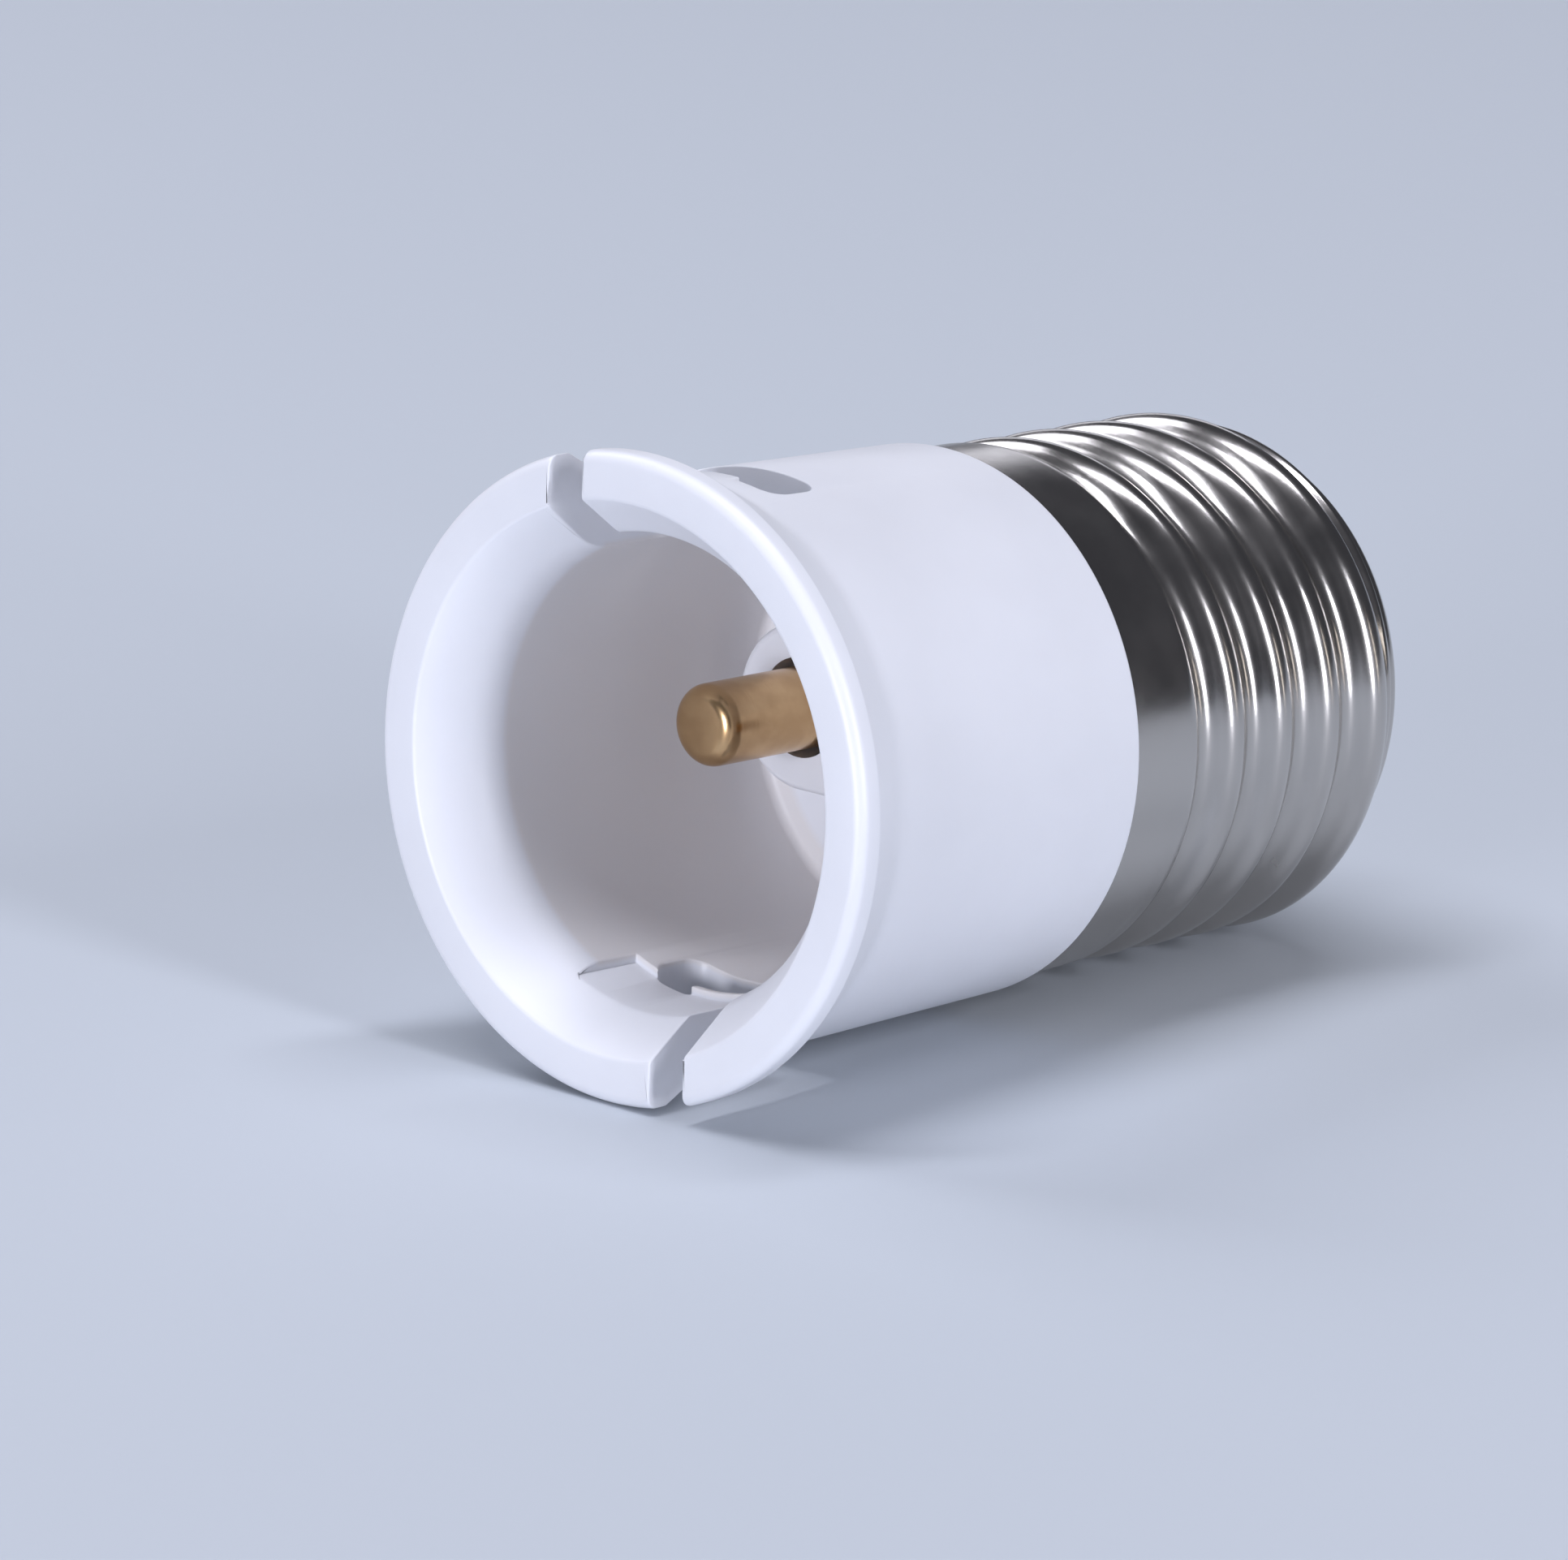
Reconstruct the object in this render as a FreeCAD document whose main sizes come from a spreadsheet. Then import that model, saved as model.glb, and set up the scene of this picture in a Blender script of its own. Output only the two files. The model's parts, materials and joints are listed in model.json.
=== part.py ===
import FreeCAD
import Part
import Sketcher
import math
import os

from FreeCAD import Placement, Rotation, Vector

# Lamp adapter that screws into a 27 mm screw lampholder and takes a 22 mm bayonet lamp.
# Every piece is drawn about the adapter's own axis: X runs from the mouth plane into the screw
# shell, Y is to the left of someone looking into the mouth and Z is up. The whole adapter is then
# laid down on its rim and its last thread crest, which is how it comes to rest on a table.

doc = FreeCAD.newDocument("lamp_adapter")

# The sketcher's number for the middle of a circle or arc
CENTRE = 3

# Driving dimensions in millimetres and degrees
SIZES = [
    ("rim_radius", 15.75, "outside of the flange"),
    ("rim_land", 1.3, "straight part of the flange's edge"),
    ("rim_round", 0.6, "rounding of the flange's front edge"),
    ("rim_back_round", 0.4, "rounding of the flange's back edge"),
    ("ring_width", 2.3, "flat front ring"),
    ("mouth_round", 0.3, "rounding where the front ring meets the funnel"),
    ("flange_height", 1.7, "flange above the body"),
    ("flare_depth", 4.6, "depth at which the flange has become the body"),
    ("flare_round", 3.0, "hollow rounding between flange and body"),
    ("body_draft", 0.4, "body's taper towards the shell"),
    ("shoulder_back", 0.3, "floor of the bore to the body's shoulder"),
    ("shoulder_round", 0.3, "rounding of the body's shoulder"),
    ("funnel_depth", 3.2, "depth of the funnel"),
    ("funnel_step", 2.25, "funnel's inner edge inside the front ring"),
    ("lip_round", 3.5, "rounding between funnel and bore"),
    ("floor_depth", 22.0, "front ring to the floor of the bore"),
    ("floor_wall", 2.0, "thickness of that floor"),
    ("floor_round", 0.5, "rounding round the floor"),
    ("shoulder_step", 0.45, "body's shoulder above the shell's collar"),
    ("land_length", 3.6, "wide land that the shell's collar grips"),
    ("land_step", 0.6, "cone between land and spigot"),
    ("spigot_length", 13.9, "shoulder to the end of the spigot"),
    ("spigot_clearance", 0.15, "spigot inside the thread's roots"),
    ("spigot_wall", 1.8, "wall of the spigot"),
    ("slot_width", 2.15, "entry slot of the bayonet"),
    ("slot_offset", 4.1, "entry slot's centre from the centre plane"),
    ("slot_depth", 9.8, "front ring to the back wall of the slots"),
    ("channel_width", 2.7, "width of the slot behind the hook"),
    ("seat_notch", 0.6, "depth of the pin seat in front of the hook"),
    ("seat_end", 3.3, "far wall of the pin seat from the centre plane"),
    ("seat_width", 2.6, "width of the pin seat"),
    ("slot_round", 1.05, "corner rounding at the ends of the slots"),
    ("hook_round", 0.25, "corner rounding of the hook and the seat"),
    ("contact_share", 0.57347, "each plunger's place as a share of the cavity's radius"),
    ("boss_share", 0.42857, "boss radius as a share of the cavity's"),
    ("boss_height", 3.0, "height of that boss above the floor"),
    ("boss_round", 0.4, "rounding of the boss"),
    ("window_share", 0.2551, "hole round each plunger as a share of the cavity's radius"),
    ("guide_share", 0.35204, "guide bore as a share of the cavity's radius"),
    ("guide_wall", 1.05, "wall of the guide tubes"),
    ("guide_length", 6.0, "guide tubes and pillars behind the floor"),
    ("pillar_share", 0.67347, "screw pillars' place as a share of the cavity's radius"),
    ("pillar_radius", 2.3, "screw pillars"),
    ("pilot_depth", 5.4, "pilot holes in the pillars"),
    ("plunger_share", 0.20918, "plunger shaft as a share of the cavity's radius"),
    ("plunger_reach", 10.15, "plunger's tip in front of the floor"),
    ("plunger_dome", 0.8, "rounding of the plunger's tip"),
    ("guide_clearance", 0.05, "plunger's collar in its guide"),
    ("collar_length", 1.0, "length of that collar"),
    ("tail_step", 0.2, "plunger's tail inside its shaft"),
    ("tail_length", 2.4, "length of that tail"),
    ("seat_gap", 0.05, "gap left between faces that bear on each other"),
    ("spring_clearance", 0.4, "spring round the plunger's tail"),
    ("spring_wire", 0.22, "radius of the spring wire"),
    ("spring_turns", 7.0, "turns of each spring"),
    ("spring_closed", 0.6, "share of the open pitch at which the end turns lie"),
    ("spring_flat", 0.5, "turns that lie closed at each end of a spring"),
    ("spring_opening", 1.0, "turns over which its pitch opens"),
    ("carrier_clearance", 0.2, "contact plate in the spigot"),
    ("carrier_thickness", 5.0, "contact plate"),
    ("carrier_floor", 1.6, "contact plate behind the terminals"),
    ("cup_step", 0.05, "terminal cup inside the guide's line"),
    ("cup_wall", 0.35, "sheet thickness of the terminal cup"),
    ("cup_depth", 2.4, "height of the terminal cup"),
    ("cup_clearance", 0.1, "terminal cup in its pocket"),
    ("tag_width", 2.4, "solder tag"),
    ("tag_thickness", 0.5, "solder tag"),
    ("tag_length", 4.6, "solder tag behind the cup"),
    ("tag_hole", 0.5, "radius of the hole in the tag"),
    ("tag_clearance", 0.15, "tag in its slit"),
    ("screw_radius", 1.2, "carrier screw's shank"),
    ("screw_clearance", 0.03, "shank in the pillar"),
    ("screw_through", 0.2, "shank in the plate"),
    ("screw_length", 8.8, "shank under the head"),
    ("screw_point", 0.8, "length of the screw's point"),
    ("head_radius", 2.3, "screw's pan head"),
    ("head_height", 1.5, "screw's pan head"),
    ("head_round", 0.6, "rounding of the head"),
    ("cross_width", 0.5, "cross recess"),
    ("cross_length", 2.4, "cross recess"),
    ("cross_depth", 0.7, "cross recess"),
    ("sheet", 0.35, "sheet thickness of the screw shell"),
    ("shell_gap", 0.05, "shell to the body's shoulder and land"),
    ("collar_length_out", 3.9, "plain collar of the shell behind the shoulder"),
    ("thread_run_in", 1.6, "length over which the thread forms"),
    ("thread_length", 14.4, "length of the fully formed thread"),
    ("thread_run_out", 1.2, "length over which it fades"),
    ("crest_step", 0.05, "crests below the collar"),
    ("thread_height", 1.05, "crest to root"),
    ("thread_pitch", 3.63, "pitch of the thread"),
    ("crest_back", 0.1, "last crest underneath to where the thread fades"),
    ("lip_inset", 0.2, "end lip's start inside the thread's root"),
    ("lip_turn", 1.6, "height of the rolled lip"),
    ("lip_depth", 1.1, "length of the rolled lip"),
    ("insulator_inset", 2.8, "insulator inside the end of the shell"),
    ("insulator_gap", 0.65, "insulator inside the thread's roots"),
    ("insulator_step", 3.0, "length of that part"),
    ("insulator_shoulder", 0.45, "cone that the shell's lip is rolled over"),
    ("insulator_clearance", 0.1, "insulator in the shell's opening"),
    ("insulator_proud", 0.1, "straight neck behind the shell's lip"),
    ("insulator_length", 6.3, "inner edge to the contact's seat"),
    ("insulator_seat", 5.6, "radius of the contact's seat"),
    ("insulator_wall", 2.2, "floor of the insulating cup"),
    ("insulator_rim", 3.1, "wall of the insulating cup at its inner edge"),
    ("tip_radius", 4.75, "centre contact"),
    ("tip_height", 1.5, "centre contact"),
    ("tip_round", 0.9, "rounding of the centre contact"),
    ("tip_flat", 3.2, "flat face of the centre contact"),
    ("rivet_radius", 1.6, "rivet shank"),
    ("rivet_hole", 0.9, "hollow of the rivet"),
    ("rivet_flare", 2.3, "turned-over end of the rivet"),
    ("rivet_flare_length", 0.35, "turned-over end of the rivet"),
    ("washer_radius", 3.3, "contact washer"),
    ("washer_thickness", 0.4, "contact washer"),
    ("wire_radius", 0.4, "tinned wire"),
    ("sleeve_radius", 0.85, "outside of the sleeving"),
    ("sleeve_clearance", 0.06, "wire in the sleeving"),
    ("wire_bend", 1.2, "bend radius of the wires"),
    ("wire_gap", 0.02, "wire to the tag or the shell"),
    ("wire_start", 0.6, "wire in front of the tag's hole"),
    ("live_turn", 1.5, "tag's end to the live wire's first bend"),
    ("live_centre", 3.2, "tag's end to where the live wire meets the axis"),
    ("live_entry", 0.95, "live wire inside the rivet"),
    ("neutral_turn", 1.5, "tag's end to the neutral wire's first bend"),
    ("neutral_wall", 1.6, "tag's end to where the neutral wire meets the shell"),
    ("neutral_rise", 1.2, "height of that point above the centre plane"),
    ("neutral_end", 3.4, "height of the neutral wire's end"),
    ("sleeve_start", 0.3, "tag's end to the sleeving"),
    ("sleeve_stop", 1.6, "sleeving short of its wire's last bend or joint"),
    ("tag_solder", 1.1, "radius of the blob on a tag"),
    ("tip_solder", 1.3, "radius of the blob in the rivet"),
    ("shell_solder", 1.0, "radius of the blob on the shell"),
    ("overshoot", 1.0, "reach of a cut past the face that it opens"),
]

# Sizes that follow from the ones above
DERIVED = [
    ("mouth_radius", "rim_radius - ring_width", "inner edge of the flat front ring"),
    ("bore_radius", "mouth_radius - funnel_step", "bore for a 22 mm lamp cap"),
    ("neck_radius", "rim_radius - flange_height", "body behind the flange"),
    ("shoulder_radius", "neck_radius - body_draft", "body at the screw shell"),
    ("body_length", "floor_depth + shoulder_back", "front ring to shoulder"),
    ("collar_outside", "shoulder_radius - shoulder_step", "plain collar of the shell"),
    ("thread_crest", "collar_outside - crest_step", "crest radius of the 27 mm thread"),
    ("thread_root", "thread_crest - thread_height", "root radius of the thread"),
    ("spigot_radius", "thread_root - sheet - spigot_clearance", "spigot inside the thread"),
    ("cavity_radius", "spigot_radius - spigot_wall", "hollow inside the spigot"),
    ("hook_depth", "slot_depth - channel_width", "front ring to the hook"),
    ("seat_depth", "hook_depth - seat_notch", "front ring to the pin seat"),
    ("contact_spacing", "2 * cavity_radius * contact_share", "distance between the plungers"),
    ("boss_radius", "cavity_radius * boss_share", "half width of the boss"),
    ("window_radius", "cavity_radius * window_share", "hole round each plunger"),
    ("guide_radius", "cavity_radius * guide_share", "bore that guides a plunger's collar"),
    ("pillar_offset", "cavity_radius * pillar_share", "screw pillars from the axis"),
    ("plunger_radius", "cavity_radius * plunger_share", "plunger shaft"),
    ("tail_radius", "plunger_radius - tail_step", "plunger's tail inside the spring"),
    ("spring_radius", "tail_radius + spring_clearance + spring_wire", "spring, to the wire's middle"),
    ("cup_radius", "guide_radius - cup_step", "terminal cup"),
    ("collar_end", "body_length + collar_length_out", "front ring to where the thread begins"),
    ("thread_full", "collar_end + thread_run_in", "front ring to the fully formed thread"),
    ("thread_fade", "thread_full + thread_length", "front ring to where the thread fades"),
    ("thread_gone", "thread_fade + thread_run_out", "front ring to where it has gone"),
    ("rest_crest", "thread_fade - crest_back", "front ring to the last crest underneath"),
    ("lip_start_radius", "thread_root - lip_inset", "shell where the end lip starts"),
    ("lip_radius", "lip_start_radius - lip_turn", "opening in the end of the shell"),
    ("insulator_front", "thread_gone - insulator_inset", "front ring to the insulator's inner edge"),
    ("insulator_radius", "thread_root - sheet - insulator_gap", "insulator inside the shell"),
    ("insulator_hollow", "insulator_radius - insulator_rim", "hollow of the insulating cup"),
]

sheet = doc.addObject("Spreadsheet::Sheet", "Dims")
rows = [(alias, str(number), meaning) for alias, number, meaning in SIZES]
rows += [(alias, "=" + rule, meaning) for alias, rule, meaning in DERIVED]
for row, (alias, content, meaning) in enumerate(rows, start=1):
    sheet.set("A%d" % row, alias)
    sheet.set("C%d" % row, meaning)
    sheet.setAlias("B%d" % row, alias)
for row, (alias, content, meaning) in enumerate(rows, start=1):
    sheet.set("B%d" % row, content)
doc.recompute()


def size(name):
    """A driving dimension as a number."""
    return float(sheet.get(name))


def total(text):
    """The value of names and numbers joined by plus and minus signs."""
    result = 0.0
    sign = 1.0
    for word in text.split():
        if word == "+":
            sign = 1.0
        elif word == "-":
            sign = -1.0
        elif word[0].isdigit():
            result += sign * float(word)
        else:
            result += sign * size(word)
    return result


def formula(text):
    """The same sum as an expression on the sheet's cells."""
    words = []
    for word in text.split():
        words.append("Dims." + word if word[0].isalpha() else word)
    return " ".join(words)


def origin_feature(body, role):
    for feature in body.Origin.OriginFeatures:
        if feature.Role == role:
            return feature
    raise RuntimeError("no " + role)


def new_body(label):
    body = doc.addObject("PartDesign::Body", label)
    body.Label = label
    return body


def new_sketch(body, name, plane, depth="0"):
    """A sketch on one of the body's own planes, moved along that plane's normal."""
    sketch = body.newObject("Sketcher::SketchObject", name)
    sketch.AttachmentSupport = [(origin_feature(body, plane), "")]
    sketch.MapMode = "FlatFace"
    if depth != "0":
        sketch.AttachmentOffset = Placement(Vector(0, 0, total(depth)), Rotation())
        sketch.setExpression("AttachmentOffset.Base.z", formula(depth))
    return sketch


def pin_point(sketch, index, corner, along, across, tag):
    """Dimensions one point of a sketch from the origin, or puts it on an axis."""
    if along == "0" and across == "0":
        sketch.addConstraint(Sketcher.Constraint("Coincident", index, corner, -1, 1))
        return
    for kind, text, axis in (("DistanceX", along, -2), ("DistanceY", across, -1)):
        if text == "0":
            sketch.addConstraint(Sketcher.Constraint("PointOnObject", index, corner, axis))
            continue
        name = tag + kind[-1]
        number = sketch.addConstraint(
            Sketcher.Constraint(kind, -1, 1, index, corner, total(text))
        )
        sketch.renameConstraint(number, name)
        sketch.setExpression("Constraints." + name, formula(text))


def draw_outline(sketch, points, tag="p"):
    """A closed outline of straight edges whose corners are sums of driving dimensions."""
    corners = [Vector(total(along), total(across), 0) for along, across in points]
    first = len(sketch.Geometry)
    count = len(points)
    for number in range(count):
        edge = Part.LineSegment(corners[number], corners[(number + 1) % count])
        sketch.addGeometry(edge, False)
    for number in range(count):
        after = first + (number + 1) % count
        sketch.addConstraint(Sketcher.Constraint("Coincident", first + number, 2, after, 1))
    for number, (along, across) in enumerate(points):
        pin_point(sketch, first + number, 1, along, across, "%s%d" % (tag, number))


def draw_circle(sketch, along, across, radius, tag):
    """A circle placed and sized by driving dimensions."""
    centre = Vector(total(along), total(across), 0)
    index = sketch.addGeometry(Part.Circle(centre, Vector(0, 0, 1), total(radius)), False)
    pin_point(sketch, index, CENTRE, along, across, tag)
    number = sketch.addConstraint(Sketcher.Constraint("Radius", index, total(radius)))
    sketch.renameConstraint(number, tag + "R")
    sketch.setExpression("Constraints." + tag + "R", formula(radius))


def revolve(body, points, name="Turned"):
    """Turns an outline, drawn as distance along the axis and radius, about the axis."""
    sketch = new_sketch(body, name + "Outline", "XY_Plane")
    draw_outline(sketch, points)
    turned = body.newObject("PartDesign::Revolution", name)
    turned.Profile = sketch
    turned.ReferenceAxis = (sketch, ["H_Axis"])
    turned.Angle = 360
    doc.recompute()
    return turned


def pad(body, sketch, length, name):
    feature = body.newObject("PartDesign::Pad", name)
    feature.Profile = sketch
    feature.Length = total(length)
    feature.setExpression("Length", formula(length))
    doc.recompute()
    return feature


def pocket(body, sketch, length, name, forward=True):
    """Cuts a sketch along its plane's normal, and makes sure that something was cut."""
    before = body.Shape.Volume
    feature = body.newObject("PartDesign::Pocket", name)
    feature.Profile = sketch
    feature.Length = total(length)
    feature.setExpression("Length", formula(length))
    feature.Reversed = forward
    doc.recompute()
    if not body.Shape.Volume < before:
        raise RuntimeError(name + " cuts nothing")
    return feature


def half_turn(body, feature, name):
    """Repeats a feature on the other side of the adapter's axis."""
    before = body.Shape.Volume
    pattern = body.newObject("PartDesign::PolarPattern", name)
    pattern.Originals = [feature]
    pattern.Axis = (origin_feature(body, "X_Axis"), [""])
    pattern.Angle = 360
    pattern.Occurrences = 2
    body.Tip = pattern
    doc.recompute()
    if abs(body.Shape.Volume - before) < 1e-6:
        raise RuntimeError(name + " changes nothing")
    return pattern


def round_edges(body, chosen, radius, name):
    """Rounds the edges of the body's last feature that a test picks out."""
    base = body.Tip
    names = []
    for number, edge in enumerate(base.Shape.Edges, start=1):
        if chosen(edge):
            names.append("Edge%d" % number)
    if not names:
        raise RuntimeError(name + " finds no edge")
    feature = body.newObject("PartDesign::Fillet", name)
    feature.Base = (base, names)
    feature.Radius = size(radius)
    feature.setExpression("Radius", formula(radius))
    doc.recompute()
    return feature


def ring_at(along, radius):
    """A test for whole circles about the X axis at a depth and radius."""
    def chosen(edge):
        if not isinstance(edge.Curve, Part.Circle):
            return False
        centre = edge.Curve.Center
        on_axis = math.hypot(centre.y, centre.z) < 1e-4
        same_place = abs(centre.x - total(along)) < 1e-4
        return on_axis and same_place and abs(edge.Curve.Radius - total(radius)) < 1e-4
    return chosen


def upright_at(spots):
    """A test for straight edges parallel to Z that stand at one of the given spots."""
    def chosen(edge):
        if not isinstance(edge.Curve, Part.Line) or abs(edge.Curve.Direction.z) < 0.999:
            return False
        middle = edge.CenterOfMass
        for along, across in spots:
            if abs(middle.x - along) < 1e-3 and abs(middle.y - across) < 1e-3:
                return True
        return False
    return chosen


# Depths that several pieces share, from the front ring
FLOOR_BACK = "floor_depth + floor_wall"
GUIDE_END = FLOOR_BACK + " + guide_length"
CARRIER_FRONT = GUIDE_END + " + seat_gap"
CARRIER_BACK = CARRIER_FRONT + " + carrier_thickness"
CUP_BACK = CARRIER_BACK + " - carrier_floor - seat_gap"
CUP_FLOOR = CUP_BACK + " - cup_wall"
TAG_END = CUP_BACK + " + tag_length"
SHELL_END = "thread_gone + lip_depth"
INSULATOR_FLOOR = "insulator_front + insulator_length - insulator_wall"
RIVET_END = INSULATOR_FLOOR + " - seat_gap - washer_thickness - seat_gap - rivet_flare_length"
HALF_SPACING = size("contact_spacing") / 2


def make_housing():
    """The white moulding: flange, funnel, bore, slots, boss, guides and spigot."""
    body = new_body("housing")
    land = "collar_outside - sheet - shell_gap"
    revolve(body, [
        ("0", "mouth_radius"),
        ("0", "rim_radius"),
        ("rim_land", "rim_radius"),
        ("flare_depth", "neck_radius"),
        ("body_length", "shoulder_radius"),
        ("body_length", land),
        ("body_length + land_length", land),
        ("body_length + land_length + land_step", "spigot_radius"),
        ("body_length + spigot_length", "spigot_radius"),
        ("body_length + spigot_length", "cavity_radius"),
        (FLOOR_BACK, "cavity_radius"),
        (FLOOR_BACK, "0"),
        ("floor_depth", "0"),
        ("floor_depth", "bore_radius"),
        ("funnel_depth", "bore_radius"),
    ])
    round_edges(body, ring_at("0", "rim_radius"), "rim_round", "RimRound")
    round_edges(body, ring_at("rim_land", "rim_radius"), "rim_back_round", "RimBackRound")
    round_edges(body, ring_at("flare_depth", "neck_radius"), "flare_round", "FlareRound")
    round_edges(body, ring_at("0", "mouth_radius"), "mouth_round", "MouthRound")
    round_edges(body, ring_at("funnel_depth", "bore_radius"), "lip_round", "LipRound")
    round_edges(body, ring_at("body_length", "shoulder_radius"), "shoulder_round", "ShoulderRound")
    round_edges(body, ring_at("floor_depth", "bore_radius"), "floor_round", "FloorRound")

    # Boss round the plungers, standing on the floor of the bore
    boss = new_sketch(body, "BossOutline", "YZ_Plane", "floor_depth - boss_height")
    half = HALF_SPACING
    radius = size("boss_radius")
    right = boss.addGeometry(Part.ArcOfCircle(
        Part.Circle(Vector(half, 0, 0), Vector(0, 0, 1), radius), -math.pi / 2, math.pi / 2))
    top = boss.addGeometry(Part.LineSegment(Vector(half, radius, 0), Vector(-half, radius, 0)))
    left = boss.addGeometry(Part.ArcOfCircle(
        Part.Circle(Vector(-half, 0, 0), Vector(0, 0, 1), radius), math.pi / 2, 3 * math.pi / 2))
    bottom = boss.addGeometry(Part.LineSegment(Vector(-half, -radius, 0), Vector(half, -radius, 0)))
    for one, other in ((right, top), (top, left), (left, bottom), (bottom, right)):
        boss.addConstraint(Sketcher.Constraint("Tangent", one, 2, other, 1))
    boss.addConstraint(Sketcher.Constraint("PointOnObject", right, CENTRE, -1))
    boss.addConstraint(Sketcher.Constraint("Symmetric", right, CENTRE, left, CENTRE, -1, 1))
    boss.addConstraint(Sketcher.Constraint("Equal", right, left))
    number = boss.addConstraint(Sketcher.Constraint("Radius", right, radius))
    boss.renameConstraint(number, "BossRadius")
    boss.setExpression("Constraints.BossRadius", "Dims.boss_radius")
    spacing = Sketcher.Constraint("DistanceX", left, CENTRE, right, CENTRE, 2 * half)
    number = boss.addConstraint(spacing)
    boss.renameConstraint(number, "Spacing")
    boss.setExpression("Constraints.Spacing", "Dims.contact_spacing")
    pad(body, boss, "boss_height + floor_wall", "Boss")

    def boss_edge(edge):
        box = edge.BoundBox
        depth = total("floor_depth - boss_height")
        flat = abs(box.XMin - depth) < 1e-4 and abs(box.XMax - depth) < 1e-4
        return flat
    round_edges(body, boss_edge, "boss_round", "BossRound")

    # Guide tubes and screw pillars behind the floor
    posts = new_sketch(body, "PostOutline", "YZ_Plane", "floor_depth")
    for side, tag in ((1, "GuideLeft"), (-1, "GuideRight")):
        spaced_circle(posts, side, "guide_radius + guide_wall", tag)
    for side, tag in ((1, "PillarTop"), (-1, "PillarBottom")):
        stacked_circle(posts, side, "pillar_radius", tag)
    pad(body, posts, "floor_wall + guide_length", "Posts")

    windows = new_sketch(body, "WindowOutline", "YZ_Plane", "floor_depth - boss_height - overshoot")
    for side, tag in ((1, "Left"), (-1, "Right")):
        spaced_circle(windows, side, "window_radius", tag)
    pocket(body, windows, "boss_height + floor_wall + overshoot + overshoot", "Windows")

    guides = new_sketch(body, "GuideOutline", "YZ_Plane", FLOOR_BACK)
    for side, tag in ((1, "Left"), (-1, "Right")):
        spaced_circle(guides, side, "guide_radius", tag)
    pocket(body, guides, "guide_length + overshoot", "Guides")

    pilots = new_sketch(body, "PilotOutline", "YZ_Plane", GUIDE_END + " - pilot_depth")
    for side, tag in ((1, "Top"), (-1, "Bottom")):
        stacked_circle(pilots, side, "screw_radius + screw_clearance", tag)
    pocket(body, pilots, "pilot_depth + overshoot", "Pilots")

    # One J slot cut upwards through the wall, and its twin half a turn round
    slot = new_sketch(body, "SlotOutline", "XY_Plane")
    entry_near = size("slot_offset") - size("slot_width") / 2
    entry_far = size("slot_offset") + size("slot_width") / 2
    seat_far = -size("seat_end")
    seat_near = seat_far + size("seat_width")
    outside = -size("overshoot")
    corners = [
        (outside, entry_near),
        (size("hook_depth"), entry_near),
        (size("hook_depth"), seat_near),
        (size("seat_depth"), seat_near),
        (size("seat_depth"), seat_far),
        (size("slot_depth"), seat_far),
        (size("slot_depth"), entry_far),
        (outside, entry_far),
    ]
    draw_slot(slot, corners)
    cut = pocket(body, slot, "rim_radius + overshoot", "Slot")
    half_turn(body, cut, "SlotPair")

    # Rounded corners of the slots: wide at the ends, small at the hook and the seat
    for group, radius_name, name in (
        (corners[4:7], "slot_round", "SlotRound"),
        (corners[1:4], "hook_round", "HookRound"),
    ):
        spots = group + [(along, -across) for along, across in group]
        round_edges(body, upright_at(spots), radius_name, name)
    return body


def draw_slot(sketch, corners):
    """The J slot's outline: entry, channel behind the hook, and pin seat."""
    count = len(corners)
    for number in range(count):
        start = Vector(corners[number][0], corners[number][1], 0)
        end = Vector(corners[(number + 1) % count][0], corners[(number + 1) % count][1], 0)
        sketch.addGeometry(Part.LineSegment(start, end), False)
    for number in range(count):
        after = (number + 1) % count
        sketch.addConstraint(Sketcher.Constraint("Coincident", number, 2, after, 1))
        kind = "Horizontal" if number % 2 == 0 else "Vertical"
        sketch.addConstraint(Sketcher.Constraint(kind, number))
    named = [
        ("Start", "DistanceX", 0, corners[0][0], "-Dims.overshoot"),
        ("Hook", "DistanceX", 2, corners[2][0], "Dims.hook_depth"),
        ("Seat", "DistanceX", 4, corners[4][0], "Dims.seat_depth"),
        ("Back", "DistanceX", 6, corners[6][0], "Dims.slot_depth"),
        ("EntryNear", "DistanceY", 0, corners[0][1], "Dims.slot_offset - Dims.slot_width / 2"),
        ("SeatNear", "DistanceY", 2, corners[2][1], "Dims.seat_width - Dims.seat_end"),
        ("SeatFar", "DistanceY", 4, corners[4][1], "-Dims.seat_end"),
        ("EntryFar", "DistanceY", 6, corners[6][1], "Dims.slot_offset + Dims.slot_width / 2"),
    ]
    for name, kind, index, value, text in named:
        number = sketch.addConstraint(Sketcher.Constraint(kind, -1, 1, index, 1, value))
        sketch.renameConstraint(number, name)
        sketch.setExpression("Constraints." + name, text)


def spaced_circle(sketch, side, radius, tag):
    """A circle about one plunger's axis, on a sketch across the adapter."""
    centre = Vector(side * HALF_SPACING, 0, 0)
    index = sketch.addGeometry(Part.Circle(centre, Vector(0, 0, 1), total(radius)), False)
    sketch.addConstraint(Sketcher.Constraint("PointOnObject", index, CENTRE, -1))
    number = sketch.addConstraint(Sketcher.Constraint("DistanceX", -1, 1, index, CENTRE, centre.x))
    sketch.renameConstraint(number, tag + "X")
    sign = "" if side > 0 else "-"
    sketch.setExpression("Constraints." + tag + "X", sign + "Dims.contact_spacing / 2")
    number = sketch.addConstraint(Sketcher.Constraint("Radius", index, total(radius)))
    sketch.renameConstraint(number, tag + "R")
    sketch.setExpression("Constraints." + tag + "R", formula(radius))


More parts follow.
